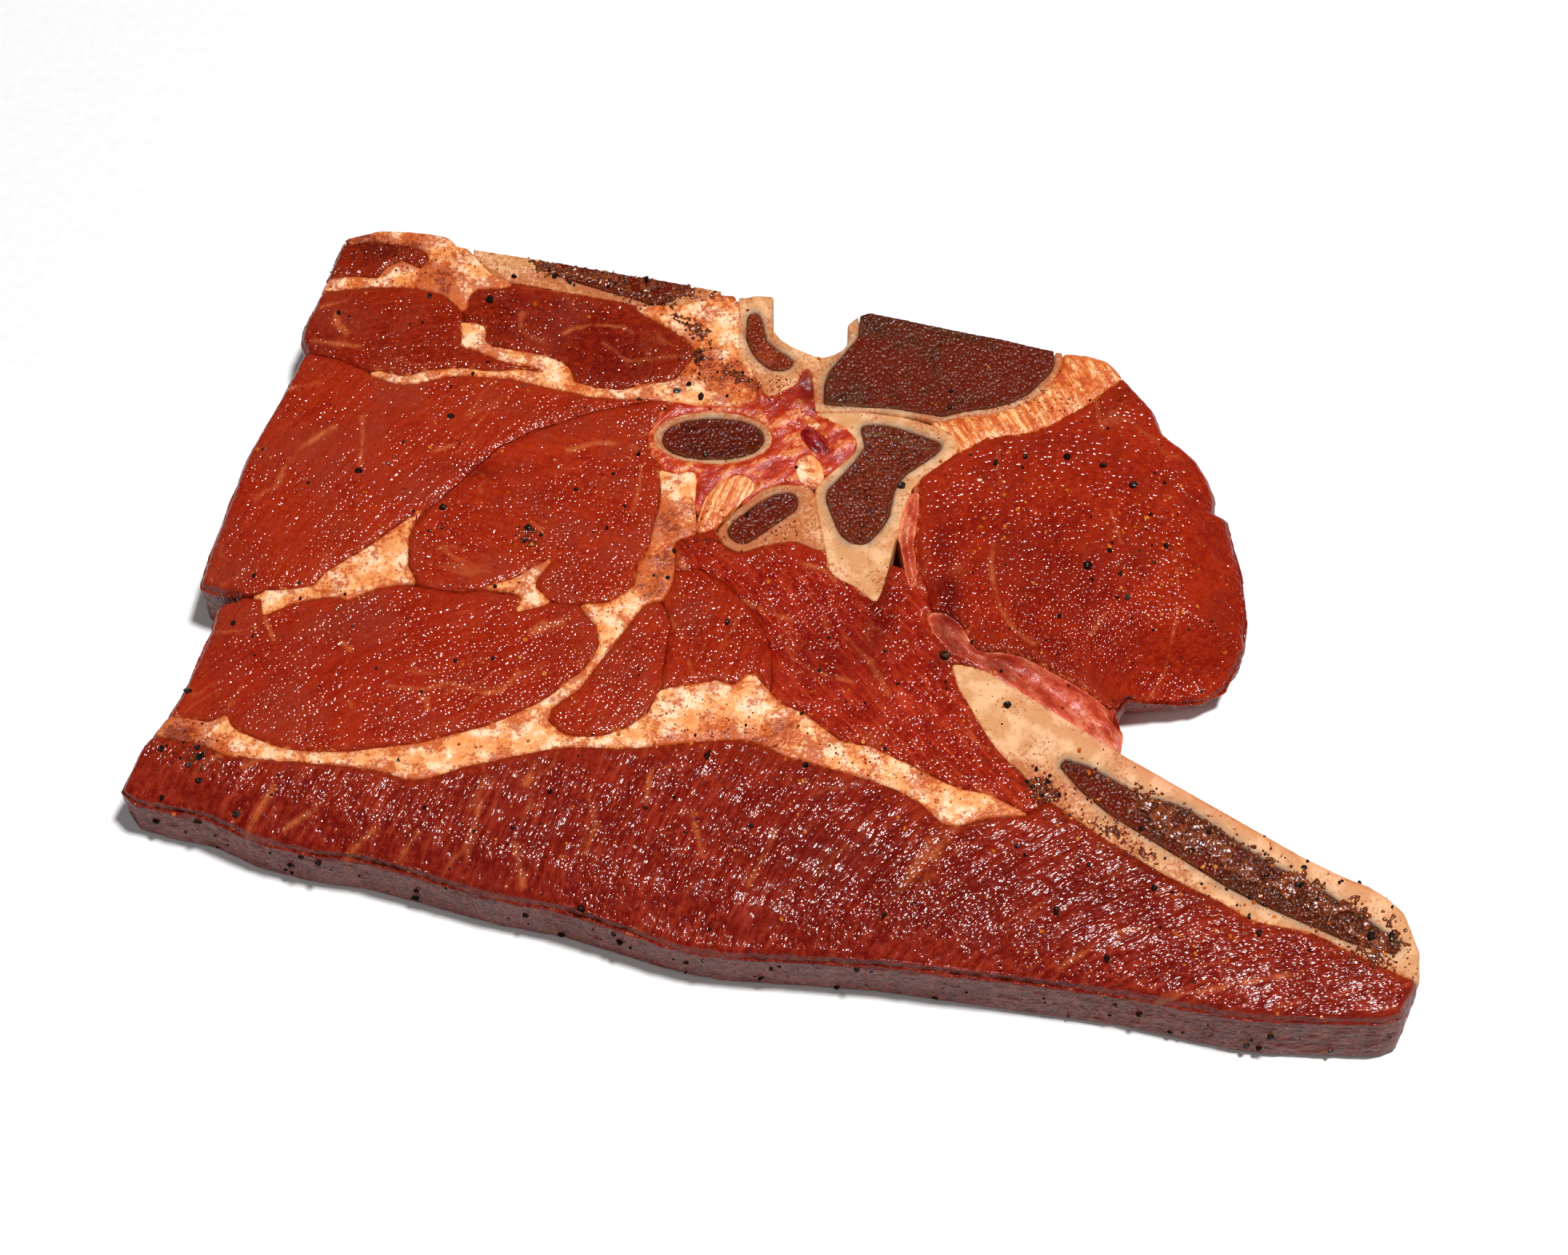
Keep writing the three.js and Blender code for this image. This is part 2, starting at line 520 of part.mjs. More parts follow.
const FATS = {
  corner_fat: [
    [-82, 112], [-79, 108],
    ...curve([
      [-77.2, 104.6], [-73.8, 100.6], [-67.2, 95.6], [-75.5, 94.6], [-78, 91], [-78.8, 88], [-83.4, 93],
      [-88.6, 94.4],
    ]),
    ...curve([[-93, 95.2], [-99, 95.4], [-105, 95], [-110, 94.2], [-116, 93.4]]),
    ...curve([
      [-115, 96.8], [-109, 97.6], [-104.6, 98], [-100, 97.4], [-98.2, 100.6], [-94, 102.4],
      [-89.6, 100.2],
    ]),
    ...curve([[-87.6, 103], [-89.4, 106.2], [-95, 107.8], [-103, 108.8], [-108, 107.8]]),
    [-112, 113], [-95, 116],
  ],
  neck_seam_fat: [
    ...curve([
      [-79, 84.6], [-75.4, 84.2], [-73, 82.6], [-72.6, 78.4], [-66, 76.4], [-58, 75], [-52.4, 71.6],
      [-51, 67.4],
    ]),
    ...curve([
      [-45, 65.3], [-39, 65], [-33, 66.6], [-27, 67.6], [-24, 71], [-21.6, 75.4], [-23.4, 79.6],
      [-30, 84.4],
    ]),
    ...curve([[-34.6, 87], [-36.4, 89.8], [-30, 93], [-17, 95.4]]),
    [-12.4, 94], [-11, 88], [-11, 74],
    ...curve([
      [-8.2, 70.8], [-6.6, 66], [-7.4, 62], [-12, 60.6], [-20, 61], [-30, 62.4], [-38, 62.6],
      [-46, 63.2],
    ]),
    ...curve([
      [-53, 65], [-58, 66.6], [-66, 68.6], [-72, 68.8], [-79, 69.4], [-85, 68.2], [-91, 66.6],
      [-96, 67.6], [-100.6, 69.8],
    ]),
    ...curve([[-98, 70.2], [-92, 68.6], [-86, 70.4], [-78, 71.2], [-71, 70.2], [-63, 71], [-57, 69.6]]),
    ...curve([[-58.6, 71.4], [-66, 72.8], [-73, 76], [-78.4, 78]]),
  ],
  left_fat: [
    ...curve([
      [-85.5, 30.8], [-90, 27.8], [-95, 23.2], [-101, 18.6], [-106.8, 14.8], [-109.6, 10.8], [-116, 9.9],
    ]),
    [-121, 9.6], [-124, 8],
    ...curve([
      [-121.4, 7.6], [-120.6, 3.4], [-114.8, 6.4], [-105, 8.4], [-101.6, 7], [-98, 9.2], [-92, 11.2],
      [-86, 11.7],
    ]),
    ...curve([[-88.2, 16.5], [-88.6, 23], [-87.8, 28.2]]),
  ],
  star_fat: loop([
    [-70.4, 10.4], [-62.8, 12.8], [-58, 16.4], [-54.6, 18], [-57.6, 14], [-58.2, 10.6], [-54.6, 7],
    [-58.4, 5.6], [-62.2, 4.2], [-60.9, 7.6], [-64, 9.6],
  ]),
  middle_fat: [
    ...curve([
      [-29.6, 42.4], [-25.6, 41.2], [-21.4, 41.6], [-21.4, 35], [-21.2, 29], [-21, 25], [-25.8, 23],
      [-25.6, 17],
    ]),
    ...curve([
      [-26.6, 11], [-28.4, 7.5], [-33, 6], [-38, -1.6], [-41.6, -7.2], [-47, -15.6], [-53.4, -20.8],
    ]),
    ...curve([
      [-54, -24], [-50.2, -27.5], [-44, -28.3], [-38, -27], [-31, -22.4], [-28.6, -16.6], [-22, -15],
    ]),
    ...curve([
      [-15.6, -13.8], [-11, -14.8], [-7.6, -11.8], [-4.4, -15.4], [-1, -19.6], [4.4, -22], [12.6, -29.2],
    ]),
    ...curve([[19.6, -30.6], [26, -34], [34.4, -38.8], [40, -41.4], [46, -42.6], [54.8, -47.6]]),
    ...curve([
      [46, -47.8], [36.6, -50], [31, -44.4], [23, -39.8], [11, -36], [0, -32.4], [-9, -28.6],
      [-22, -29.2],
    ]),
    ...curve([
      [-36, -30.8], [-50, -30.4], [-60, -32.6], [-72, -35.2], [-83, -38.6], [-92, -36.2], [-105, -34.6],
    ]),
    ...curve([
      [-118, -33.4], [-126, -32.6], [-131, -30], [-138, -28], [-144, -27],
    ]), [-150, -26], [-146, -20],
    ...curve([
      [-140.4, -22.5], [-131, -24.3], [-127.2, -22.6], [-124.6, -26.7], [-112, -31.5], [-99, -32.1],
    ]),
    ...curve([[-83, -29.9], [-68, -25.6], [-56, -19.6], [-49.6, -14.4], [-44.6, -9.4], [-42.4, -4]]),
    ...curve([
      [-43.2, 0.4], [-47.2, 5.8], [-42, 6.2], [-38, 8.2], [-34.6, 11.4], [-34.2, 15.8], [-31.6, 21],
      [-30.4, 28],
    ]),
    ...curve([[-29.4, 32], [-29, 37]]),
  ],
};

const MUSCLES = {
  corner_muscle: { outline: [[-120, 96], [-88, 96], [-86, 112], [-120, 116]], look: 'darkLean' },
  back_muscle: {
    outline: [
      [-122, 96], [-122, 76.3], [-115, 75.9], [-108, 74], [-100.4, 70.2], [-91, 67.6], [-80, 70],
      [-56, 69.4], [-55, 72], [-77, 79], [-79, 88], [-80, 95], [-88, 97],
    ],
    look: 'lean',
  },
  spine_muscle: {
    outline: [[-80.5, 97], [-60, 98], [-30, 94], [-20, 84], [-22, 66], [-40, 64], [-54, 66], [-79, 79]],
    look: 'darkLean',
  },
  neck_muscle: {
    outline: [
      [-124, 76], [-116, 75.6], [-108, 73.7], [-100.6, 70], [-60, 70], [-34, 66], [-24, 64],
      ...curve([
        [-32, 61.9], [-38, 60.8], [-45.6, 59.1], [-54.1, 56.2], [-60, 54], [-68.5, 48.7], [-75.3, 41.4],
      ]),
      ...curve([[-84.2, 31.9], [-88, 26]]), [-98, 12], [-112, 8.8], [-121, 8.6], [-142, 8.6],
    ],
    look: 'lean',
  },
  middle_muscle: {
    outline: [
      [-24, 66], [-60, 64], [-95, 36], [-95, 11.8], [-86, 11.2], [-81, 10.2], [-75, 9.4], [-70, 10],
      [-52, 6.6], [-46, 6.2], [-30, 8], [-27, 40], [-32, 46], [-33.4, 52], [-30, 58],
    ],
    look: 'lean',
  },
  oval_muscle: {
    outline: [
      [-29.4, 8.6], [-26.4, 1], [-27.4, -5], [-28.2, -12], [-28, -24], [-40, -29.6], [-50, -29.4],
      [-54.6, -22.6], [-48, -15], [-43, -8.2], [-38.8, -0.6], [-34.6, 5],
    ],
    look: 'browned',
  },
  inner_muscle: {
    outline: [
      [-29, 12], [-26, 14.6], [-20, 15.4], [-14, 11.6], [-7.6, 4.4], [-4.6, -1.4], [-3, -8], [-3.2, -20],
      [-30, -20],
    ],
    look: 'browned',
  },
  lower_muscle: {
    outline: [
      [-142, 8.4], [-122, 8.4], [-108, 12], [-86, 12], [-40, 9.4], [-36, 0], [-50, -29.4], [-84, -35],
      [-105, -33.5], [-150, -24.6],
    ],
    look: 'lean',
  },
  joint_tissue: {
    outline: [
      [-34, 44], [-35, 54], [-28, 64], [10, 72], [18, 56], [14, 34], [-6, 34], [-24, 30], [-26, 40],
    ],
    look: 'gristle',
  },
  rib_muscle: {
    outline: [
      [-27, 27], [12, 22], [32, 14], [36, -4], [44, -10], [62, -40], [57.6, -45], [54.6, -47], [40, -45],
      [10, -33], [-10, -20], [-10, -4], [-12, 6], [-20, 12], [-28, 12],
    ],
    look: 'darkLean',
  },
  long_muscle: {
    outline: [
      [-160, -24], [-60, -28], [-20, -24], [10, -30], [50, -46], [64, -40], [100, -60], [150, -82],
      [150, -110], [-160, -110],
    ],
    look: 'darkLean',
  },
  round_muscle: {
    outline: [[26, 52], [50, 60], [84, 76], [120, 60], [120, -20], [78, -24], [40, -4], [27, 8]],
    look: 'lean',
  },
};

// Peppercorn pieces pressed into the wet top, the largest where the eye finds them
const LARGE_PEPPER = [
  [-72, 91, 2.1], [-87, 92, 1.6], [-20, 63, 1.9], [71, 15.6, 2], [67.4, 45.6, 1.7], [83, 37.6, 1.9],
  [89.6, 21, 1.8], [-80, 57, 1.5], [-101, 41.4, 1.7], [-136.8, -16, 1.7], [-132, -33.2, 2.4],
  [-140.6, -42, 1.7], [-123, -46.6, 1.8], [37, -7.8, 2], [51, -20.2, 2.1], [70.6, -82, 1.7],
  [22, -72, 1.5], [-45, -69.4, 1.6], [60, -71, 1.8], [-13, 1.2, 1.5], [104.4, -76.4, 1.8],
  [5, -35.4, 1.5], [-80.6, 31.6, 1.6], [-52.6, -42, 1.3], [-17.4, -33.4, 1.6],
];
const SMALL_PEPPER = 36;

function distanceToRing(x, y, ring) {
  let best = Infinity;
  ring.forEach(([ax, ay], i) => {
    const [bx, by] = ring[(i + 1) % ring.length];
    const len2 = (bx - ax) ** 2 + (by - ay) ** 2 || 1;
    const t = clamp01(((x - ax) * (bx - ax) + (y - ay) * (by - ay)) / len2);
    best = Math.min(best, Math.hypot(x - ax - t * (bx - ax), y - ay - t * (by - ay)));
  });
  return best;
}

function inside(x, y, ring) {
  let odd = false;
  ring.forEach(([ax, ay], i) => {
    const [bx, by] = ring[(i + 1) % ring.length];
    if (ay > y !== by > y && x < ax + ((bx - ax) * (y - ay)) / (by - ay)) odd = !odd;
  });
  return odd;
}

// Split chip of a peppercorn: a squashed, uneven icosahedron
function pepperChip(x, y, radius, random, lift) {
  const ball = new THREE.IcosahedronGeometry(radius, 0);
  ball.deleteAttribute('normal');
  ball.deleteAttribute('uv');
  const merged = mergeVertices(ball, 1e-4);
  const position = merged.attributes.position;
  for (let i = 0; i < position.count; i += 1) {
    const k = 0.78 + 0.36 * random();
    position.setXYZ(i, position.getX(i) * k, position.getY(i) * k * 0.78, position.getZ(i) * k * 0.62);
  }
  merged.rotateX((random() - 0.5) * 0.5);
  merged.rotateZ(random() * Math.PI);
  merged.translate(x, y, facetHeight(x, y) + lift + radius * 0.12);
  return toManifold(merged);
}

// Cut every piece from the slab, each one clear of those named before it

function biggestBody(solid) {
  return solid.decompose().sort((a, b) => b.volume() - a.volume())[0];
}

function overlaps(a, b) {
  const p = a.boundingBox();
  const q = b.boundingBox();
  return p.min[0] < q.max[0] && q.min[0] < p.max[0] && p.min[1] < q.max[1] && q.min[1] < p.max[1];
}

function cutPieces() {
  const wall = slabWall();
  const blanks = new Map();
  const blank = (lift) => {
    if (!blanks.has(lift)) blanks.set(lift, wall.intersect(underTop(lift)));
    return blanks.get(lift);
  };
  const cutters = [];
  const pieces = [];
  const add = (name, outline, look, lift, flare) => {
    let solid = prism(outline).intersect(blank(lift));
    cutters.filter(({ room }) => overlaps(room, solid)).forEach(({ room }) => {
      solid = solid.subtract(room);
    });
    solid = biggestBody(solid);
    pieces.push({ name, solid, look, lift, outline });
    cutters.push({ name, outline, room: clearance(outline, flare) });
  };
  Object.entries(MARROW).forEach(([name, outline]) => add(name, outline, 'marrow', MARROW_RISE, 0));
  Object.entries(BONES).forEach(([name, outline]) => add(name, outline, 'bone', BONE_RISE, 0));
  Object.entries(SINEWS).forEach(([name, outline]) => {
    const look = name === 'vein' ? 'vessel' : name.includes('pearl') ? 'fat' : 'gristle';
    add(name, outline, look, FAT_RISE, 0);
  });
  Object.entries(FATS).forEach(([name, outline]) => add(name, outline, 'fat', FAT_RISE, SEAM_FLARE));
  Object.entries(MUSCLES).forEach(([name, { outline, look }]) => {
    add(name, outline, look, MUSCLE_RISE, SEAM_FLARE);
  });
  return { pieces, cutters };
}

function addPepper({ pieces, cutters }) {
  const random = seeded(37);
  const rings = cutters.map(({ outline }) => outline).concat([OUTLINE]);
  const clear = (x, y) => Math.min(...rings.map((ring) => distanceToRing(x, y, ring)));
  const placed = [];
  const tryChip = (x, y, radius) => {
    const spaced = placed.every((p) => Math.hypot(p.x - x, p.y - y) > p.radius + radius + 2);
    if (!inside(x, y, OUTLINE) || !spaced || clear(x, y) < radius * 1.15 + 0.5) return false;
    const home = pieces.find(({ outline }) => inside(x, y, outline));
    if (!home || home.look === 'marrow' || home.look === 'vessel') return false;
    placed.push({ x, y, radius });
    home.solid = home.solid.add(pepperChip(x, y, radius, random, home.lift));
    return true;
  };
  LARGE_PEPPER.forEach(([x, y, radius]) => tryChip(x, y, radius));
  for (let tries = 0, count = 0; count < SMALL_PEPPER && tries < 4000; tries += 1) {
    const radius = 1.5 - (0.7 * count) / SMALL_PEPPER;
    if (tryChip(-145 + 280 * random(), -90 + 195 * random(), radius)) count += 1;
  }
}

function toMesh({ name, solid, look }) {
  const { vertProperties, triVerts, numProp } = solid.getMesh();
  const positions = new Float32Array(triVerts.length * 3);
  triVerts.forEach((v, i) => {
    for (let k = 0; k < 3; k += 1) positions[i * 3 + k] = vertProperties[v * numProp + k];
  });
  const geometry = new THREE.BufferGeometry();
  geometry.setAttribute('position', new THREE.BufferAttribute(positions, 3));
  geometry.computeVertexNormals();
  const { color, roughness } = LOOKS[look];
  const mesh = new THREE.Mesh(geometry, new THREE.MeshStandardMaterial({ color, roughness, metalness: 0 }));
  mesh.name = name;
  return mesh;
}

const cut = cutPieces();
addPepper(cut);

const group = new THREE.Group();
group.name = 'chuck_steak';
cut.pieces.forEach((piece) => group.add(toMesh(piece)));

// Middle of the footprint at the origin
const box = new THREE.Box3().setFromObject(group);
const middle = box.getCenter(new THREE.Vector3());
group.children.forEach((mesh) => mesh.geometry.translate(-middle.x, -middle.y, -box.min.z));

export default group;
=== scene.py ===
import math

import bpy
import numpy as np
from mathutils import Matrix, Vector
from mathutils.kdtree import KDTree


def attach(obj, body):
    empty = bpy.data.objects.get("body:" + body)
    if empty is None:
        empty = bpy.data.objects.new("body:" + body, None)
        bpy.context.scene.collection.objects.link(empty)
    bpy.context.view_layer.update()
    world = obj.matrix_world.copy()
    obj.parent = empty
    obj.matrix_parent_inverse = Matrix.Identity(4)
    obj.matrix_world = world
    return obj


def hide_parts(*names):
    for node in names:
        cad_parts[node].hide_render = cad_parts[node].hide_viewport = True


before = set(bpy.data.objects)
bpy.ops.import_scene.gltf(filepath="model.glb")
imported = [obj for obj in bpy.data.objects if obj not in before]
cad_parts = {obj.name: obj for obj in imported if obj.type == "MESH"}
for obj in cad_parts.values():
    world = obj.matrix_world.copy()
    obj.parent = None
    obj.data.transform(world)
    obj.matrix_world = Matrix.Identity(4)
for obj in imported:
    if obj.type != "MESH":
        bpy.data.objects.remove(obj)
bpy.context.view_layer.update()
scene = bpy.context.scene

mm = 0.001
# Places below are in mm from the picture's middle, which lies here from the slice's own
pictureMiddle = np.array([5.45, -7.15])


# Small tools

def only(piece):
    bpy.ops.object.select_all(action="DESELECT")
    piece.select_set(True)
    bpy.context.view_layer.objects.active = piece


def applied(piece, kind, **settings):
    only(piece)
    modifier = piece.modifiers.new(kind.lower(), kind)
    for key, value in settings.items():
        setattr(modifier, key, value)
    bpy.ops.object.modifier_apply(modifier=modifier.name)


def readPoints(mesh):
    flat = np.zeros(len(mesh.vertices) * 3, np.float32)
    mesh.vertices.foreach_get("co", flat)
    points = flat.reshape(-1, 3).astype(float) / mm
    points[:, :2] -= pictureMiddle
    return points


def writePoints(mesh, points):
    moved = points.copy()
    moved[:, :2] += pictureMiddle
    mesh.vertices.foreach_set("co", (moved * mm).astype(np.float32).ravel())
    mesh.update()


def readNormals(mesh):
    flat = np.zeros(len(mesh.vertices) * 3, np.float32)
    mesh.vertex_normals.foreach_get("vector", flat)
    return flat.reshape(-1, 3).astype(float)


def step(low, high, value):
    t = np.clip((value - low) / (high - low), 0, 1)
    return t * t * (3 - 2 * t)


def cellNoise(ix, iy, iz, seed):
    n = (ix * 73856093) ^ (iy * 19349663) ^ (iz * 83492791) ^ (seed * 2654435761)
    n = (n ^ (n >> 13)) & 0xFFFFFFFF
    n = (n * 1274126177) & 0xFFFFFFFF
    n = (n ^ (n >> 16)) & 0xFFFFFFFF
    return (n & 0xFFFF) / 32767.5 - 1


def softNoise(x, y, z, seed):
    # smooth noise from -1 to 1, one bump for each unit
    ix, iy, iz = (np.floor(v).astype(np.int64) for v in (x, y, z))
    fx, fy, fz = (step(0, 1, v - i) for v, i in ((x, ix), (y, iy), (z, iz)))
    total = 0
    for dx in (0, 1):
        for dy in (0, 1):
            for dz in (0, 1):
                share = (fx if dx else 1 - fx) * (fy if dy else 1 - fy) * (fz if dz else 1 - fz)
                total = total + share * cellNoise(ix + dx, iy + dy, iz + dz, seed)
    return total


def layeredNoise(x, y, z, seed, layers=3):
    total, size, most = 0, 1.0, 0.0
    for n in range(layers):
        k = 1.93 ** n
        total = total + size * softNoise(x * k + 17 * n, y * k - 9 * n, z * k, seed + n)
        most += size
        size *= 0.55
    return total / most


def flatNoise(x, y, size, seed, layers=3):
    return layeredNoise(x / size, y / size, 0 * x, seed, layers)


def lineDistance(x, y, points):
    best = np.full(len(x), 1e9)
    for (ax, ay), (bx, by) in zip(points, points[1:]):
        length = (bx - ax) ** 2 + (by - ay) ** 2 or 1
        t = np.clip(((x - ax) * (bx - ax) + (y - ay) * (by - ay)) / length, 0, 1)
        best = np.minimum(best, np.hypot(x - ax - t * (bx - ax), y - ay - t * (by - ay)))
    return best


# The slice's own top, as in the part: nearly flat, sagging along the front and at the right rim
topShape = {
    "thickness": 19, "frontSag": 3, "frontSagWidth": 14, "rightSag": 4.5, "lowerSag": 10,
    "frontLine": [(-148, -43), (-120, -53), (-80, -63), (-40, -74), (0, -82), (50, -88), (100, -96),
                  (130, -97)],
    "swells": [
        (72, 14, 26, 0.9), (-104, 46, 22, 0.8), (-92, -10, 24, 0.7), (-42, -14, 11, 0.5),
        (-52, 36, 18, 0.5), (-55, 83, 13, -0.6), (10, -4, 16, -1.1), (40, -62, 18, 0.5),
    ],
    "facetCell": 13, "partTurn": (72, 14), "softTurn": (65, 23),
}


def topHeight(x, y, turn="partTurn"):
    s = topShape
    turnStart, turnWidth = s[turn]
    front = np.interp(x, *zip(*s["frontLine"]))
    reach = 1 - step(0, 1, (y - front) / s["frontSagWidth"])
    sag = s["frontSag"] * (1 - 0.7 * step(0, 1, (x - 70) / 40))
    rightRim = step(0, 1, (x - 92) / 18) * step(0, 1, (y + 25) / 10) * s["rightSag"]
    lowRim = (step(0, 1, (5 - y) / 18) * step(0, 1, (x - turnStart) / turnWidth)
              * step(0, 1, (y + 27) / 6)) * s["lowerSag"]
    leftRim = step(0, 1, (-126 - x) / 12)
    swell = sum(rise * np.exp(-((x - cx) ** 2 + (y - cy) ** 2) / radius ** 2) for cx, cy, radius,
                rise in s["swells"])
    return s["thickness"] - sag * reach - np.maximum(rightRim, lowRim) - leftRim + swell


def facetHeight(x, y):
    # the same surface on the flat triangles that the part has
    c = topShape["facetCell"]
    i, j = np.floor(x / c) * c, np.floor(y / c) * c
    u, v = (x - i) / c, (y - j) / c
    low, high = topHeight(i, j), topHeight(i + c, j + c)
    right, back = topHeight(i + c, j), topHeight(i, j + c)
    return np.where(u > v, low + u * (right - low) + v * (high - right),
                    low + v * (back - low) + u * (high - back))


# What each node is: slot where it isn't its kind's name, fibre direction in degrees against x (a fan has its
# centre and radius), marbling lines with their width in mm, and its own tones
meat = {
    "corner_muscle": {
        "slot": "dark_lean", "grain": [(0, 12)], "tones": ("6a0d03", "7d1a08", "96391f"),
        "streaks": [([(-97.7, 100.9), (-94.2, 99.7), (-91.4, 98)], 1.6)],
    },
    "back_muscle": {
        "slot": "lean", "grain": [(0, 6)], "tones": ("7e1804", "8e260e", "a4391d"),
        "streaks": [
            ([(-114.7, 78.8), (-108.5, 77.8), (-102.4, 77)], 0.9),
            ([(-109.5, 86.9), (-109.3, 83.7), (-106.7, 81.2)], 0.7), ([(-114, 88.4), (-107.4, 90.6)], 0.6),
        ],
    },
    "spine_muscle": {
        "slot": "dark_lean", "grain": [(0, 150)], "tones": ("6d1005", "7e1c0d", "983a26"),
        "streaks": [
            ([(-53.8, 81.2), (-51.8, 82.8), (-47, 83.7), (-40.2, 83), (-36.8, 81.2)], 0.5),
            ([(-44.2, 78.4), (-41.4, 76.4), (-38.6, 73.2), (-34.6, 72.8), (-29.9, 74.1), (-25.1, 74.4)],
             0.5),
            ([(-64.2, 86.9), (-64.4, 82.8)], 0.5), ([(-62.6, 80.4), (-59.1, 79.2)], 0.9),
        ],
    },
    "neck_muscle": {
        "slot": "lean", "grain": [(-125, 62), (-95, 52), (-60, 42)],
        "tones": ("96240b", "a4331a", "ba4b2c"),
        "streaks": [
            ([(-125.4, 34.2), (-122.1, 36.7), (-120, 37.5), (-118.9, 42.5), (-115.1, 48.4), (-107.5, 53.8)],
             0.7),
            ([(-101.2, 56.8), (-100.7, 48.4), (-101, 42.5)], 0.5), ([(-119.9, 65), (-112, 66.7)], 0.6),
            ([(-77.3, 36.3), (-68.3, 41.7), (-62.5, 46.3)], 0.5), ([(-84, 47), (-79, 49)], 0.4),
        ],
    },
    "middle_muscle": {
        "slot": "lean", "grain": [(-75, 158), (-30, 166)], "tones": ("92210a", "a9341a", "c2502f"),
        "streaks": [
            ([(-51.3, 47.5), (-46, 49.4), (-41.4, 49.8), (-35.4, 48.3)], 0.7),
            ([(-33.9, 43.2), (-34.4, 37.1), (-35.6, 31)], 0.5), ([(-60.3, 29.2), (-56.5, 24.3)], 0.4),
        ],
    },
    "lower_muscle": {
        "slot": "lean", "grain": [(-125, 40), (-95, 27), (-60, 22)],
        "tones": ("93210b", "a12e18", "b04229"),
        "streaks": [
            ([(-90.3, -15.8), (-82.6, -16.6), (-76.5, -14.7), (-68.8, -17.4), (-64.7, -17), (-62.1, -13.5),
              (-60.7, -12.3)], 0.6),
            ([(-58, -1.8), (-55.7, 0.2), (-51.5, 1)], 1.0), ([(-102.1, -4.5), (-99.9, -6.1)], 0.6),
            ([(-120.4, 2.6), (-117.8, -3.7)], 0.4), ([(-126.5, -20.1), (-124.1, -15.4)], 0.5),
            ([(-133, -1.5), (-125.4, -1)], 0.4), ([(-99, -20.1), (-97.4, -22.4)], 0.6),
            ([(-82.6, -17), (-81, -21.6)], 0.5),
        ],
    },
    "oval_muscle": {"slot": "browned_lean", "grain": [(0, 62)], "tones": ("8e2007", "a43015", "c0512f")},
    "inner_muscle": {
        "slot": "browned_lean", "grain": [(0, 74)], "tones": ("891d07", "9e2c12", "bc5030"),
        "streaks": [([(-26.2, 2.2), (-23.5, -3)], 0.5), ([(-31, -8), (-28, -14)], 0.4),
                    ([(-22, -9), (-20, -15)], 0.4)],
    },
    "rib_muscle": {
        "slot": "dark_lean", "cut": {"fibre": 0.3, "pitch": 1.7, "lumps": 0.34}, "grain": [(0, 128)],
        "finish": {
            "strandHeight": 0.4, "strandTone": 1.0, "coat": 0.55, "oilShare": 0.2, "hazeShare": 0.3,
            "haze": "c8503a",
        },
        "tones": ("84100a", "a22413", "cc5636"),
        "streaks": [
            ([(-25.2, 19.5), (-21, 12.4), (-18.2, 7.8)], 0.9),
            ([(3.5, 17.1), (10.4, 14.8), (13.1, 10.9)], 0.8), ([(-11.4, 7.8), (-8.7, 0.1)], 0.5),
            ([(-16, 15), (-13, 9), (-6, 5), (2, 2)], 0.5), ([(14, -2), (20, -9), (24, -18)], 0.7),
            ([(2, -8), (9, -12), (16, -14)], 0.5),
        ],
    },
    "long_muscle": {
        "slot": "dark_lean", "cut": {"fibre": 0.36, "pitch": 1.75, "lumps": 0.28},
        "finish": {
            "bead": (1.5, 0.7, 0.9), "beadHeight": 0.26, "strandHeight": 0.5, "strandTone": 1.0,
            "coat": 0.55, "oilShare": 0.25, "hazeShare": 0.3, "haze": "6c1c1c", "patchy": 0.3,
        },
        "grain": [(-150, 60), (-100, 64), (-50, 72), (0, 62), (35, 46), (70, 28), (110, 13)],
        "tones": ("72120a", "8c2518", "b04e3e"),
        "streaks": [
            ([(-122, -36), (-117, -33)], 1.0), ([(-133, -37), (-128, -33)], 0.8),
            ([(-115, -41), (-122, -53)], 0.8), ([(-105, -46), (-112, -50)], 0.9),
            ([(-92, -51), (-98, -57)], 0.8), ([(-86, -58), (-82, -52)], 0.7),
            ([(-56, -35), (-58, -40)], 1.1), ([(-60, -55), (-58, -64)], 0.9),
            ([(-44, -57), (-42, -50)], 0.7), ([(-30, -37), (-31, -45)], 0.6),
            ([(-20, -50), (-18, -58)], 0.5), ([(-2, -52), (-8, -65)], 0.6), ([(14, -55), (6, -64)], 0.7),
            ([(35, -52), (24, -68)], 1.3), ([(60, -84), (68, -79)], 0.6), ([(73, -76), (80, -75)], 0.6),
            ([(75, -92), (110, -86)], 0.5), ([(-68, -44), (-70, -54)], 0.7), ([(42, -46), (33, -58)], 1.2),
        ],
    },
    "round_muscle": {
        "slot": "lean", "finish": {"patchy": 0.8, "hazeShare": 0.5, "haze": "7a2418", "coat": 0.45},
        "grain": [(0, 90)], "fan": (60, -42, 52), "tones": ("871808", "9e2b14", "bd4224"),
        "streaks": [
            ([(49.3, 22), (48.5, 17.6), (48.7, 11.8), (50.3, 4.5), (53.3, -1.2), (57.5, -4.8),
              (60.1, -3.4)], 0.6),
            ([(91.6, 16.2), (91.8, 8.9), (90.8, 1.6), (88.6, -7.6), (84.1, -14.7)], 0.3),
            ([(70.9, -1.9), (74.4, 3.1)], 0.4), ([(77, 31), (79.1, 22)], 0.3),
        ],
    },
}
fatNodes = ("upper_fat_pearl", "lower_fat_pearl", "corner_fat", "neck_seam_fat", "left_fat", "star_fat",
            "middle_fat")
fat = {node: {} for node in fatNodes}
bone = {  # how much spice oil each has taken up
    "spinous_bone": {"stain": 0.3}, "vertebra": {"stain": 0.1},
    "process_bone": {"stain": 0.25}, "rib_head_bone": {"stain": 0.0},
    "tubercle_bone": {"stain": 0.35}, "rib_bone": {"stain": 0.04},
}
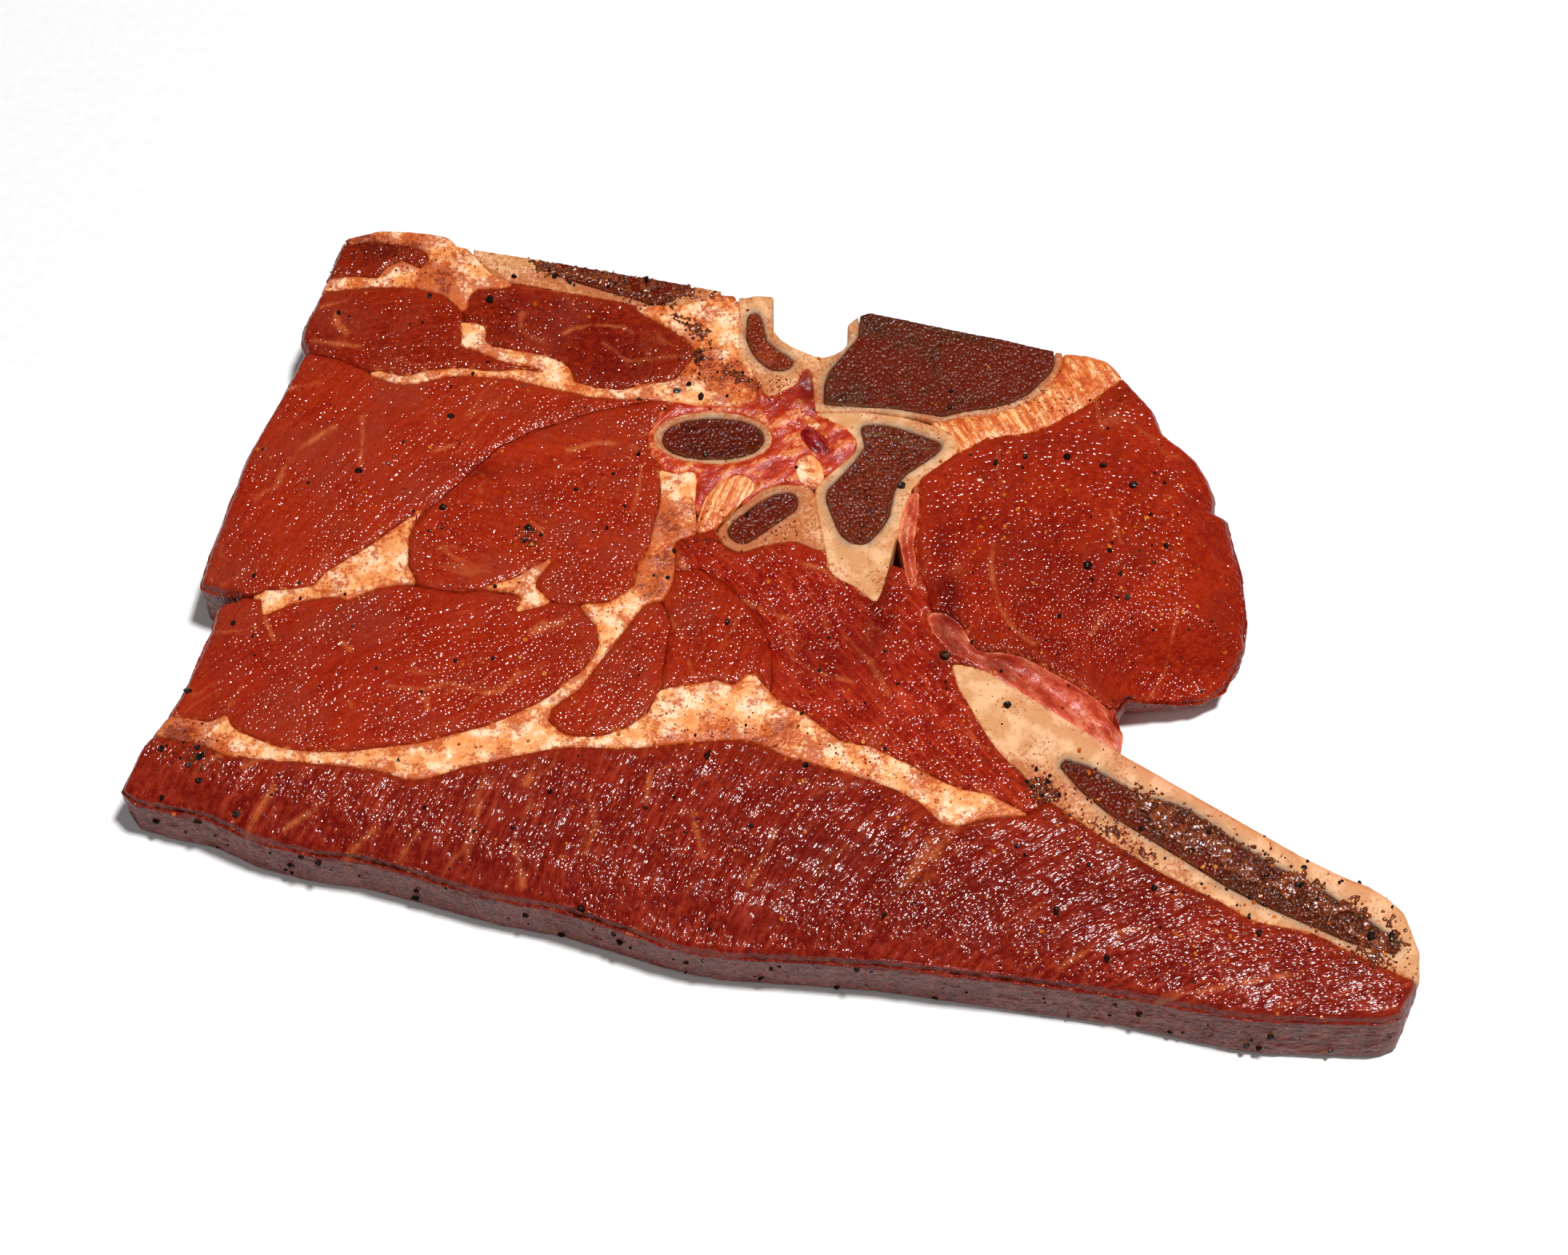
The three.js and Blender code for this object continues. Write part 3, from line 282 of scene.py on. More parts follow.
marrow = {
    "spine_marrow": {"tones": ("3c1006", "521b0b", "75361f")},
    "arch_marrow": {"tones": ("7c2c0c", "974a28", "b66c46")},
    "body_marrow": {
        "tones": ("3e180b", "523024", "7c5444"),
        "streaks": [([(11.4, 60.6), (16.3, 60.6), (21.9, 59), (27.5, 58.6), (34.5, 57.3), (41.5, 56.5)],
                     0.7)],
    },
    "process_marrow": {"tones": ("420f05", "581d0c", "78341d")},
    "rib_head_marrow": {
        "tones": ("4a1605", "662914", "965038"),
        "streaks": [([(15.5, 52), (21.8, 52.8), (27.4, 51.2), (32.2, 49.1), (35.7, 48.3)], 0.7)],
    },
    "tubercle_marrow": {"tones": ("451404", "572410", "744028")},
    "rib_marrow": {"tones": ("30120a", "4c2418", "7c4c3a")},
}
gristle = {
    "back_ligament": {"cut": {"lumps": 0.12, "waves": 0.2}},
    "rib_ligament": {"cut": {"lumps": 0.12}},
    "vessel_finger": {"cut": {"crown": 1.6, "crownWidth": 2.2, "lumps": 0.4}},
    "vessel_strip": {"cut": {"crown": 1.8, "crownWidth": 3, "lumps": 0.4}},
    "joint_tissue": {"cut": {"lumps": 0.45}},
    "vein": {"slot": "vessel", "cut": {"crown": 0.8, "crownWidth": 1.5}},
}

# How each kind of tissue is cut, in mm: height against its neighbours, waves and fibres of its top, sides
cutNames = ("rise", "waves", "lumps", "fibre", "pitch", "side", "groove")
cutValues = {
    "meat": (0.42, 0.25, 0.16, 0.2, 1.3, 0.4, 0.16), "fat": (0.12, 0.2, 0.2, 0.03, 1.4, 0.25, 0.08),
    "bone": (-0.05, 0.05, 0.03, 0.01, 0.9, 0.1, 0.05), "marrow": (-0.15, 0.1, 0.18, 0.0, 1, 0.15, 0.03),
    "gristle": (0.3, 0.3, 0.28, 0.06, 1.2, 0.25, 0.2),
}
cutLooks = {kind: dict(zip(cutNames, values)) for kind, values in cutValues.items()}
cutSizes = {  # mm
    "waves": 13, "lumps": 3.2, "groove": 6, "grooveWidth": 0.7, "side": 3.5, "sideUp": 1.3,
    "rim": (0.7, 2.4), "inward": 1.1,
}
nodeKinds = {"meat": meat, "fat": fat, "bone": bone, "marrow": marrow, "gristle": gristle}
nodeLooks = {}
for kind, looks in nodeKinds.items():
    for node, look in looks.items():
        nodeLooks[node] = dict({"slot": kind}, **look, kind=kind)
remeshed = {"voxel": 0.5, "smoothTimes": 5, "seamGrow": 0.32, "hiddenShare": 0.1}

# Creases that cross the top: points, half width and depth in mm
creases = [
    ([(-88.2, 31), (-79.9, 35.6), (-71.1, 44), (-64.7, 50.2), (-58.2, 54.1), (-51.6, 57.3)], 0.8, 0.55),
    ([(75.8, 59.9), (80.5, 49.1), (87.4, 43), (94.1, 35.5), (99.1, 32.5)], 0.7, 0.35),
    ([(49.3, 22), (48.5, 17.6), (48.7, 11.8), (50.3, 4.5), (53.3, -1.2), (57.5, -4.8)], 0.7, 0.3),
]
# Hollows in the top: centre, radius and depth in mm
hollows = [(32.6, 9, 2.0, 1.4), (54, -15, 3.0, 0.6), (5.6, 65.5, 1.8, 1.2), (44, 30, 6, 0.5)]


def camel(node):
    first, *rest = node.split("_")
    return first + "".join(word.capitalize() for word in rest)


print("meat slice: copying and remeshing", len(nodeLooks), "pieces")
pieces = {}
for node in nodeLooks:
    piece = bpy.data.objects.new(camel(node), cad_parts[node].data.copy())
    scene.collection.objects.link(piece)
    piece.data.materials.clear()
    only(piece)
    bpy.ops.object.mode_set(mode="EDIT")
    bpy.ops.mesh.select_all(action="SELECT")
    bpy.ops.mesh.remove_doubles(threshold=0.000005)
    bpy.ops.object.mode_set(mode="OBJECT")
    applied(piece, "REMESH", mode="VOXEL", voxel_size=remeshed["voxel"] * mm, use_smooth_shade=True)
    applied(piece, "SMOOTH", factor=0.5, iterations=remeshed["smoothTimes"])
    pieces[node] = piece
    x, y, z = readPoints(piece.data).T
    nodeLooks[node]["middle"] = np.polyfit(x, y, 1)

# A plan of the slice in small cells says which kind of tissue is near each place
plan = {"cell": 0.7, "low": np.array([-156.0, -112.0]), "count": (424, 324)}
planLabels = np.full(plan["count"], -1)
kindNumbers = {kind: n for n, kind in enumerate(nodeKinds)}
for node, piece in pieces.items():
    points, normals = readPoints(piece.data), readNormals(piece.data)
    up = points[(normals[:, 2] > 0.2) & (points[:, 2] > 5)]
    cells = np.floor((up[:, :2] - plan["low"]) / plan["cell"]).astype(int)
    planLabels[cells[:, 0], cells[:, 1]] = kindNumbers[nodeLooks[node]["kind"]]
for turn in range(2):  # closes the seams between neighbours
    grown = planLabels.copy()
    for axis, way in ((0, 1), (0, -1), (1, 1), (1, -1)):
        moved = np.roll(planLabels, way, axis)
        back = np.roll(planLabels, -way, axis)
        grown = np.where((grown < 0) & (moved >= 0) & (back >= 0), moved, grown)
    planLabels = grown
planGrid = np.stack(np.meshgrid(*(np.arange(n) for n in plan["count"]), indexing="ij"), -1)
planCentres = planGrid * plan["cell"] + plan["low"] + plan["cell"] / 2


def distanceMap(wanted):
    # mm from each cell of the plan to the nearest wanted cell
    found = KDTree(int(wanted.sum()))
    for n, (x, y) in enumerate(planCentres[wanted]):
        found.insert((x, y, 0), n)
    found.balance()
    away = np.zeros(plan["count"])
    ask = np.argwhere(~wanted)
    away[ask[:, 0], ask[:, 1]] = [found.find((x, y, 0))[2] for x, y in planCentres[~wanted]]
    return away


def sampled(field, x, y):
    u = np.clip((x - plan["low"][0]) / plan["cell"] - 0.5, 0, plan["count"][0] - 1.001)
    v = np.clip((y - plan["low"][1]) / plan["cell"] - 0.5, 0, plan["count"][1] - 1.001)
    i, j = u.astype(int), v.astype(int)
    p, q = u - i, v - j
    front = field[i, j] * (1 - p) + field[i + 1, j] * p
    behind = field[i, j + 1] * (1 - p) + field[i + 1, j + 1] * p
    return front * (1 - q) + behind * q


print("meat slice: measuring distances between tissues")
away = {kind: distanceMap(planLabels == number) for kind, number in kindNumbers.items()}
away["outside"] = distanceMap(planLabels < 0)


def fibreCoordinates(look, x, y):
    # mm along and across the fibres, which spread from a fan's centre or turn gently from knot to knot
    if "fan" in look:
        cx, cy, radius = look["fan"]
        return np.hypot(x - cx, y - cy), np.arctan2(y - cy, x - cx) * radius
    knots = look.get("grain", [(0, 20)])
    slope, level = look["middle"]
    grid = np.arange(-160.0, 160.0)
    turns, turn = (np.radians(np.interp(at, *zip(*knots))) for at in (grid, x))
    off = y - (level + slope * x)
    along = off * np.sin(turn) + np.interp(x, grid, np.cumsum(np.cos(turns) + slope * np.sin(turns)))
    across = off * np.cos(turn) + np.interp(x, grid, np.cumsum(slope * np.cos(turns) - np.sin(turns)))
    return along, across


def fibrePattern(look, x, y, pitch, stretch=6.0):
    # streaks from 0 to 1 that follow the fibres
    along, across = fibreCoordinates(look, x, y)
    return 0.5 + 0.5 * layeredNoise(along / (pitch * stretch), across / pitch, 0 * x, 5)


def ownEdge(points, normals):
    # mm from each point to the upper part of the piece's own walls
    wall = (np.abs(normals[:, 2]) < 0.5) & (points[:, 2] > 7)
    rows = np.unique(np.round(points[wall][:, :2] / 0.4).astype(int), axis=0) * 0.4
    found = KDTree(len(rows))
    for n, (x, y) in enumerate(rows):
        found.insert((x, y, 0), n)
    found.balance()
    return np.array([found.find((x, y, 0))[2] for x, y in points[:, :2]])


def shapePiece(piece, look):
    cut = dict(cutLooks[look["kind"]], **look.get("cut", {}))
    points, normals = readPoints(piece.data), readNormals(piece.data)
    x, y, z = points.T
    smoothTop, flatTop = topHeight(x, y, "softTurn"), facetHeight(x, y)
    outside = sampled(away["outside"], x, y)
    rim = 1 - step(*cutSizes["rim"], outside)
    over = z - flatTop - partRise[look["kind"]]
    chip = over > 0.3  # pepper of the part, which loose grains stand for
    top = np.maximum(step(0.15, 0.45, normals[:, 2]) * step(4, 7, z) * (over > -2.5), chip)
    edge = ownEdge(points, normals)
    inward = step(0, cutSizes["inward"], edge)
    relief = cut["waves"] * flatNoise(x, y, cutSizes["waves"], 11)
    relief = relief + cut["lumps"] * flatNoise(x, y, cutSizes["lumps"], 23, 2)
    relief = relief + cut["fibre"] * (2 * fibrePattern(look, x, y, cut["pitch"]) - 1) * inward
    groove = cut["groove"] * (0.5 + 0.5 * flatNoise(x, y, cutSizes["groove"], 31, 1))
    relief = relief - groove * np.exp(-(edge / cutSizes["grooveWidth"]) ** 2) * (1 - rim)
    for line, width, depth in creases:
        relief = relief - depth * np.exp(-(lineDistance(x, y, line) / width) ** 2)
    for cx, cy, radius, depth in hollows:
        relief = relief - depth * np.exp(-((x - cx) ** 2 + (y - cy) ** 2) / radius ** 2)
    if "crown" in cut:
        relief = relief + cut["crown"] * (step(0, cut["crownWidth"], edge) - 0.5)
    target = smoothTop + 0.1 + (cut["rise"] - 0.1) * inward + relief
    rounded = np.minimum(over, 0) * rim
    points[:, 2] = np.where(top > 0, z + (target + rounded - z) * top, z)
    # neighbours close up on each other, and the outer sides get a coarse cut
    wall = 1 - top
    coarse = layeredNoise(x / cutSizes["side"], y / cutSizes["side"], z / cutSizes["sideUp"], 41)
    rough = coarse * cut["side"] * rim * step(0.2, 2, z)
    push = (remeshed["seamGrow"] * (1 - rim) + rough) * wall
    flat = np.hypot(normals[:, 0], normals[:, 1]) > 0.35
    points[:, :2] += normals[:, :2] * (push * flat)[:, None]
    writePoints(piece.data, points)


partRise = {"meat": 0.5, "fat": 0.15, "bone": -0.15, "marrow": -0.7, "gristle": 0.15}
print("meat slice: shaping tops, seams and sides")
for node, piece in pieces.items():
    shapePiece(piece, nodeLooks[node])
print("triangles before thinning", sum(len(p.data.polygons) for p in pieces.values()) * 2)


def thinHidden(piece):
    # walls between neighbours and the underside carry few faces
    points, normals = readPoints(piece.data), readNormals(piece.data)
    outside = sampled(away["outside"], points[:, 0], points[:, 1])
    under = normals[:, 2] < -0.5
    deep = points[:, 2] < topHeight(points[:, 0], points[:, 1]) - 3
    between = (np.abs(normals[:, 2]) < 0.4) & (outside > 3) & deep
    hidden = under | between
    group = piece.vertex_groups.new(name="hidden")
    group.add([int(n) for n in np.nonzero(hidden)[0]], 1.0, "REPLACE")
    share = hidden.mean()
    applied(piece, "DECIMATE", ratio=1 - share * (1 - remeshed["hiddenShare"]), vertex_group="hidden",
            use_collapse_triangulate=True)
    piece.vertex_groups.clear()


for piece in pieces.values():
    thinHidden(piece)
print("triangles after thinning", sum(len(p.data.polygons) for p in pieces.values()))

# Where spice has gathered: centre, radii and strength; and where blood darkens the cut
spicePatches = [
    (-45, 99, 22, 4, 1.0), (-14, 93, 10, 3, 0.8), (-22, 74, 9, 7, 0.8), (-35, 93, 14, 5, 0.5),
    (-6, 84, 6, 4, 0.4), (-11, 66, 8, 5, 0.9), (60, 72, 12, 4, 0.7), (35, 57, 9, 4, 0.5),
    (52, 66, 10, 5, 0.6), (0, 63, 9, 7, 0.8), (-12, 22, 12, 8, 0.9), (4, 26, 8, 8, 0.6),
    (-26, 26, 7, 10, 0.8), (-30, 12, 6, 8, 0.6), (-45, 52, 12, 4, 0.5), (58, -40, 9, 6, 0.9),
    (70, -46, 8, 6, 0.8), (118, -86, 14, 6, 0.6), (128, -84, 8, 5, 0.8), (92, -70, 8, 5, 0.6),
    (78, -56, 6, 4, 0.9), (34, -32, 6, 5, 0.5), (-140, -28, 10, 8, 0.6), (-12, -30, 14, 6, 0.5),
    (-104, 104, 10, 7, 0.7), (-85, 96, 7, 8, 0.5), (-100, 106, 12, 5, 0.5), (0, -28, 18, 6, 0.5),
    (46, -36, 10, 5, 0.7), (-60, 22, 10, 7, 0.4), (60, -50, 14, 5, 0.8), (84, -62, 14, 5, 0.8),
    (102, -74, 12, 4, 0.7), (-134, -30, 12, 6, 0.6), (88, 24, 10, 14, 0.5), (62, 44, 14, 8, 0.4),
    (40, 70, 22, 8, 0.4), (84, 60, 14, 9, 0.7), (104, 2, 12, 24, 0.3), (-100, 108, 16, 5, 0.6),
    (-60, 96, 20, 5, 0.5), (20, 75, 8, 8, 0.5), (-70, 60, 14, 4, 0.4), (-110, 64, 16, 8, 0.3),
]
bloodPatches = [
    (38, 8, 3.5, 20, 0.9), (52, -9, 9, 5, 0.8), (5.6, 65.5, 3, 5, 1.0), (20, -66, 30, 12, 0.35),
    (86, -60, 14, 8, 0.4), (10, -52, 20, 14, 0.3), (-74, 42, 9, 2.5, 0.5), (22, 8, 4, 12, 0.5),
    (134, -71.5, 3.5, 2.5, 0.8), (-38, 74, 12, 8, 0.4), (66, -30, 14, 3, 0.3), (-98, 101, 12, 7, 0.3),
    (14, -6, 12, 9, 0.4), (64, 12, 12, 20, 0.3), (-60, -58, 40, 14, 0.25), (60, -68, 30, 12, 0.3),
]
# Peach-coloured stain of the spice oil over the upper edge of the rib
rimStains = [(103, -46.5, 44, 3.6, -31, 0.9)]
filmLook = {"pitch": 7, "width": 0.017, "share": 0.45}
maskReach = {"seam": 1.5, "border": 0.55, "marrowSeam": 1.25}  # mm


def patches(spots, x, y):
    return sum(s * np.exp(-((x - cx) / rx) ** 2 - ((y - cy) / ry) ** 2) for cx, cy, rx, ry, s in spots)


def paint(mesh, name, values):
    layer = mesh.attributes.new(name, "FLOAT", "POINT")
    layer.data.foreach_set("value", np.asarray(values, np.float32))


def paintPiece(piece, look):
    # masks that the materials read: fibres, marbling, seams, spice, blood, the marrow's edge and the cut
    # sides, the last two carrying painted shade
    mesh, kind = piece.data, look["kind"]
    points, normals = readPoints(mesh), readNormals(mesh)
    x, y, z = points.T
    near = {k: np.exp(-sampled(field, x, y) / maskReach["seam"]) for k, field in away.items()}
    marble = np.zeros(len(x))
    for line, width in look.get("streaks", []):
        bent = width * 0.9 * flatNoise(x, y, 4, 61)
        worn = np.clip(0.8 + 0.9 * flatNoise(x, y, 3.5, 67, 2), 0, 1)
        off = (lineDistance(x, y, line) + bent) / (0.8 * width)
        marble = np.maximum(marble, worn * np.exp(-off ** 2))
    if kind == "meat":
        # faint films between bundles of fibre
        film = np.exp(-((fibrePattern(look, x, y, filmLook["pitch"], 4) - 0.5) / filmLook["width"]) ** 2)
        marble = np.maximum(marble, filmLook["share"] * film * step(0.0, 0.45, flatNoise(x, y, 15, 83, 2)))
        for name, values in zip(("along", "across"), fibreCoordinates(look, x, y)):
            paint(mesh, name, values)
    paint(mesh, "marble", marble)
    others = {"meat": ("fat", "bone", "gristle"), "fat": ("meat",), "bone": ("meat", "gristle", "fat"),
              "marrow": ("bone",), "gristle": ("meat",)}
    paint(mesh, "seam", np.max([near[k] for k in others[kind]], axis=0))
    outside = sampled(away["outside"], x, y)
    border = np.exp(-(ownEdge(points, normals) / maskReach["border"]) ** 2) * step(1.0, 2.5, outside)
    paint(mesh, "border", border * (0.5 + 0.5 * flatNoise(x, y, 6, 87, 2)))
    # nearness to the marrow, which the bone material turns into painted grey shade
    paint(mesh, "marrowSeam", np.exp(-sampled(away["marrow"], x, y) / maskReach["marrowSeam"]))
    spice = patches(spicePatches, x, y) + 0.45 * flatNoise(x, y, 7, 71)
    paint(mesh, "spice", spice)
    paint(mesh, "blood", np.clip(patches(bloodPatches, x, y) * (1 + 0.9 * flatNoise(x, y, 5, 73)), 0, 1))
    rimStain = 0
    for cx, cy, rx, ry, angle, strength in rimStains:
        a = math.radians(angle)
        u = (x - cx) * math.cos(a) + (y - cy) * math.sin(a)
        v = (y - cy) * math.cos(a) - (x - cx) * math.sin(a)
        rimStain = rimStain + strength * np.exp(-((u / rx) ** 4) - (v / ry) ** 2)
    paint(mesh, "rimStain", rimStain)
    # the outer cut sides, which the lean material paints darker and greyer than the top: painted shade with
    # a painted sheen of the pale floor
    paint(mesh, "side", (1 - step(0.25, 0.6, normals[:, 2])) * (1 - step(1.5, 3.0, outside)))


print("meat slice: painting masks")
for node, piece in pieces.items():
    paintPiece(piece, nodeLooks[node])


# Materials

shineInputs = {
    "roughness": "Roughness", "specular": "Specular IOR Level", "coat": "Coat Weight",
    "coatRoughness": "Coat Roughness", "coatIor": "Coat IOR", "ior": "IOR",
}


def linear(tone):
    values = [int(tone[n:n + 2], 16) / 255 for n in (0, 2, 4)]
    return [v / 12.92 if v <= 0.04045 else ((v + 0.055) / 1.055) ** 2.4 for v in values] + [1]


def add(tree, kind, inputs=(), out=0, **settings):
    # one node: inputs by name or in order, each a link, a number or a tone
    made = tree.nodes.new("ShaderNode" + kind)
    for key, value in settings.items():
        setattr(made, key, value)
    for key, value in inputs.items() if isinstance(inputs, dict) else enumerate(inputs):
        if isinstance(value, bpy.types.NodeSocket):
            tree.links.new(value, made.inputs[key])
        else:
            made.inputs[key].default_value = linear(value) if isinstance(value, str) else value
    return made.outputs[out]


def started(name, masks=""):
    material = bpy.data.materials.new(name)
    material.use_nodes = True
    tree = material.node_tree
    read = [add(tree, "Attribute", out="Fac", attribute_name=mask) for mask in masks.split()]
    return material, tree, add(tree, "TexCoord", out="Object"), *read


def patterns(tree, place, rows):
    # size in mm, then detail, roughness and distortion of a noise; a size alone makes cells
    made = []
    for size, *soft in rows.values():
        inputs = dict(zip(("Detail", "Roughness", "Distortion"), soft), Vector=place, Scale=1000 / size)
        made.append(add(tree, "TexNoise" if soft else "TexVoronoi", inputs))
    return made


def layered(tree, base, layers):
    # each layer lays its tone over those before it: by its share, or by a value and its share at two ends
    for share, *ends, tone in layers:
        if ends:
            share = add(tree, "MapRange", [share, *ends])
        base = add(tree, "Mix", {0: share, 6: base, 7: tone}, out=2, data_type="RGBA")
    return base


def filmed(tree, colour, tint):
    return add(tree, "Mix", {0: 1, 6: colour, 7: tint}, out=2, data_type="RGBA", blend_type="MULTIPLY")


def finished(tree, colour, height, look):
    bump = {"Height": height, "Strength": look["bumpStrength"], "Distance": look["bumpHeight"] * mm}
    relief = add(tree, "Bump", bump)
    inputs = tree.nodes["Principled BSDF"].inputs
    for source, key in ((colour, "Base Color"), (relief, "Normal"), (relief, "Coat Normal")):
        tree.links.new(source, inputs[key])
    for key, name in shineInputs.items():
        if key in look:
            inputs[name].default_value = look[key]


# Beef lean, sliced raw and rubbed with spice oil: short wet fibres under a thin film that stands in tiny
# beads, drawn out along the fibres, each with its own pinpoint of light
leanLook = {
    "marbling": "cc7c54", "oil": "b4400c", "speck": "4c1003", "blood": "5a0404", "border": "6c0f06",
    # The two wall tones paint the cut sides darker and greyer than the top: painted shade, with a painted
    # sheen of the pale floor on the lighter coarse net of fibre
    "haze": "94463a", "wall": "4d1a14", "wallSheenNet": "8c4a3c", "seamTone": "c25a34", "paste": "5c1605",
    "bleed": "e09a62", "filmTint": "f2c6a4",
    "patterns": {
        "blotch": (12, 4, 0.6), "mottle": (1.5, 4, 0.7), "hazePatch": (17, 5, 0.65),
        "net": (2.2, 3, 0.6, 1.5), "speck": (1.35,),
    },
    "bead": (1.1, 0.9, 1), "strand": (8, 1.25, 1.6),  # mm along, across and up
    "beadHeight": 0.3, "strandHeight": 0.17, "bumpHeight": 1, "bumpStrength": 1,  # mm
    "strandTone": 0.4, "oilShare": 0.4, "hazeShare": 0.45, "patchy": 0.5,
    "roughness": 0.6, "specular": 0.05, "coat": 0.6, "coatRoughness": 0.12, "coatIor": 1.47,
}


def leanMaterial(name, look):
    s = dict(leanLook, **look.get("finish", {}))
    deep, mid, pale = look["tones"]
    material, tree, place, along, across, marble, seam, border, spice, blood, side = started(
        name, "along across marble seam border spice blood side")
    up = add(tree, "SeparateXYZ", [place], out=2)
    upMm = add(tree, "Math", [up, 1000], operation="MULTIPLY")
    fibres = add(tree, "CombineXYZ", [along, across, upMm])
    strandPlace, beadPlace = (add(tree, "VectorMath", [fibres, s[size]], operation="DIVIDE")
                              for size in ("strand", "bead"))
    strand = add(tree, "TexNoise", {"Vector": strandPlace, "Scale": 1, "Detail": 3, "Roughness": 0.55})
    beads = add(tree, "TexVoronoi", {"Vector": beadPlace, "Scale": 1})
    blotch, mottle, hazePatch, net, speck = patterns(tree, place, s["patterns"])
    wide = add(tree, "MapRange", [mottle, 0.35, 0.65])
    oil = add(tree, "Math", [spice, 0.7, wide], operation="MULTIPLY_ADD")
    ragged = add(tree, "Math", [wide, 0.55, seam], operation="MULTIPLY_ADD")
    broken = add(tree, "MapRange", [mottle, 0.3, 0.55, 0.3, 1])
    marbleShare = add(tree, "Math", [marble, broken], operation="MULTIPLY", use_clamp=True)
    seamShare, bloodShare, borderShare, sideShadeShare = (
        add(tree, "Math", [mask, most], operation="MULTIPLY")
        for mask, most in ((seam, 0.3), (blood, 0.85), (border, 0.8), (side, 0.7)))
    # the cut sides: painted shade and a painted floor sheen over a coarse net of fibre
    wall = layered(tree, s["wall"], [(net, 0.46, 0.6, 0, 1, s["wallSheenNet"])])
    colour = layered(tree, mid, [
        (blotch, 0.38, 0.6, 0.9, 0, deep), (strand, 0.38, 0.5, 0.9 * s["strandTone"], 0, deep),
        (mottle, 0.48, 0.7, 0, 0.4, pale), (strand, 0.52, 0.66, 0, 0.6 * s["strandTone"], pale),
        (oil, 0.35, 1, 0, s["oilShare"], s["oil"]), (hazePatch, 0.47, 0.64, 0, s["hazeShare"], s["haze"]),
        (seamShare, s["seamTone"]), (marbleShare, s["marbling"]), (borderShare, s["border"]),
        (ragged, 1.08, 1.3, 0, 0.75, s["bleed"]), (bloodShare, s["blood"]), (sideShadeShare, wall),
        (oil, 1.1, 1.5, 0, 0.8, s["paste"]), (speck, 0.1, 0.2, 0.6, 0, s["speck"]),
    ])
    patchy = add(tree, "MapRange", [blotch, 0.4, 0.62, 1, s["patchy"]])
    dome = add(tree, "Math", [beads, beads], operation="MULTIPLY")
    domeHeight = add(tree, "Math", [dome, -s["beadHeight"]], operation="MULTIPLY")
    beadLift = add(tree, "Math", [domeHeight, patchy], operation="MULTIPLY")
    height = add(tree, "Math", [strand, s["strandHeight"], beadLift], operation="MULTIPLY_ADD")
    finished(tree, filmed(tree, colour, s["filmTint"]), height, s)
    return material


# Beef fat, firm and cool: cream lobules with a satin film, speckled orange where spice oil soaked in
fatLook = {
    "cream": "f6ae70", "bright": "ffd8ae", "peach": "e88640", "oil": "be480c", "paste": "7c2408",
    "meatTint": "b03c18", "speck": "a8460e",
    "patterns": {
        "lobule": (4.2, 3, 0.5), "mottle": (1.1, 5, 0.75), "drift": (6.72, 3, 0.6), "grit": (0.8, 2, 0.5),
        "speck": (1.15,),
    },
    "bumpHeight": 0.25, "bumpStrength": 0.9,  # mm
    "roughness": 0.55, "specular": 0.2, "coat": 0.35, "coatRoughness": 0.18, "coatIor": 1.4,
}


def fatMaterial(name):
    s = fatLook
    material, tree, place, seam, spice = started(name, "seam spice")
    lobule, mottle, drift, grit, speck = patterns(tree, place, s["patterns"])
    wide = add(tree, "MapRange", [mottle, 0.33, 0.67])
    region = add(tree, "MapRange", [drift, 0.35, 0.65, -0.35, 0.35])
    spread = add(tree, "Math", [spice, 0.75, region], operation="MULTIPLY_ADD")
    oil = add(tree, "Math", [wide, spread], operation="ADD")
    wetEdge = add(tree, "Math", [seam, 0.5, oil], operation="MULTIPLY_ADD")
    ragged = add(tree, "Math", [wide, 0.6, seam], operation="MULTIPLY_ADD")
    colour = layered(tree, s["cream"], [
        (lobule, 0.48, 0.6, 0, 0.95, s["bright"]), (lobule, 0.32, 0.48, 0.8, 0, s["peach"]),
        (ragged, 1.05, 1.3, 0, 0.9, s["meatTint"]), (wetEdge, 0.56, 0.92, 0, 0.85, s["oil"]),
        (oil, 1.15, 1.5, 0, 0.85, s["paste"]), (speck, 0.12, 0.22, 0.55, 0, s["speck"]),
    ])
    height = add(tree, "Math", [lobule, 2.5, grit], operation="MULTIPLY_ADD")
    finished(tree, colour, height, s)
    return material


# Compact bone, sawn through: dense ivory with a low sheen, painted grey shade along the sunken marrow, and
# rusty with spice
boneLook = {
    "ivory": "d4955f", "light": "f0ba8a", "grey": "8a7664", "rust": "b0501a", "tint": "d06444",
    "speck": "a8501a",
    "patterns": {"cloud": (5, 3, 0.5), "mottle": (1, 6, 0.85), "drift": (8, 5, 0.7), "speck": (1.5,)},
    "saw": 1.1, "sawTurn": 60, "sawStretch": 4, "bumpHeight": 0.12, "bumpStrength": 0.7,  # mm and degrees
    "roughness": 0.55, "specular": 0.25, "coat": 0.2, "coatRoughness": 0.22, "coatIor": 1.4,
}


def turnedPlace(tree, place, angle, stretch):
    inputs = {"Vector": place, "Rotation": (0, 0, math.radians(angle)), "Scale": (stretch, 1, 1)}
    return add(tree, "Mapping", inputs, vector_type="TEXTURE")


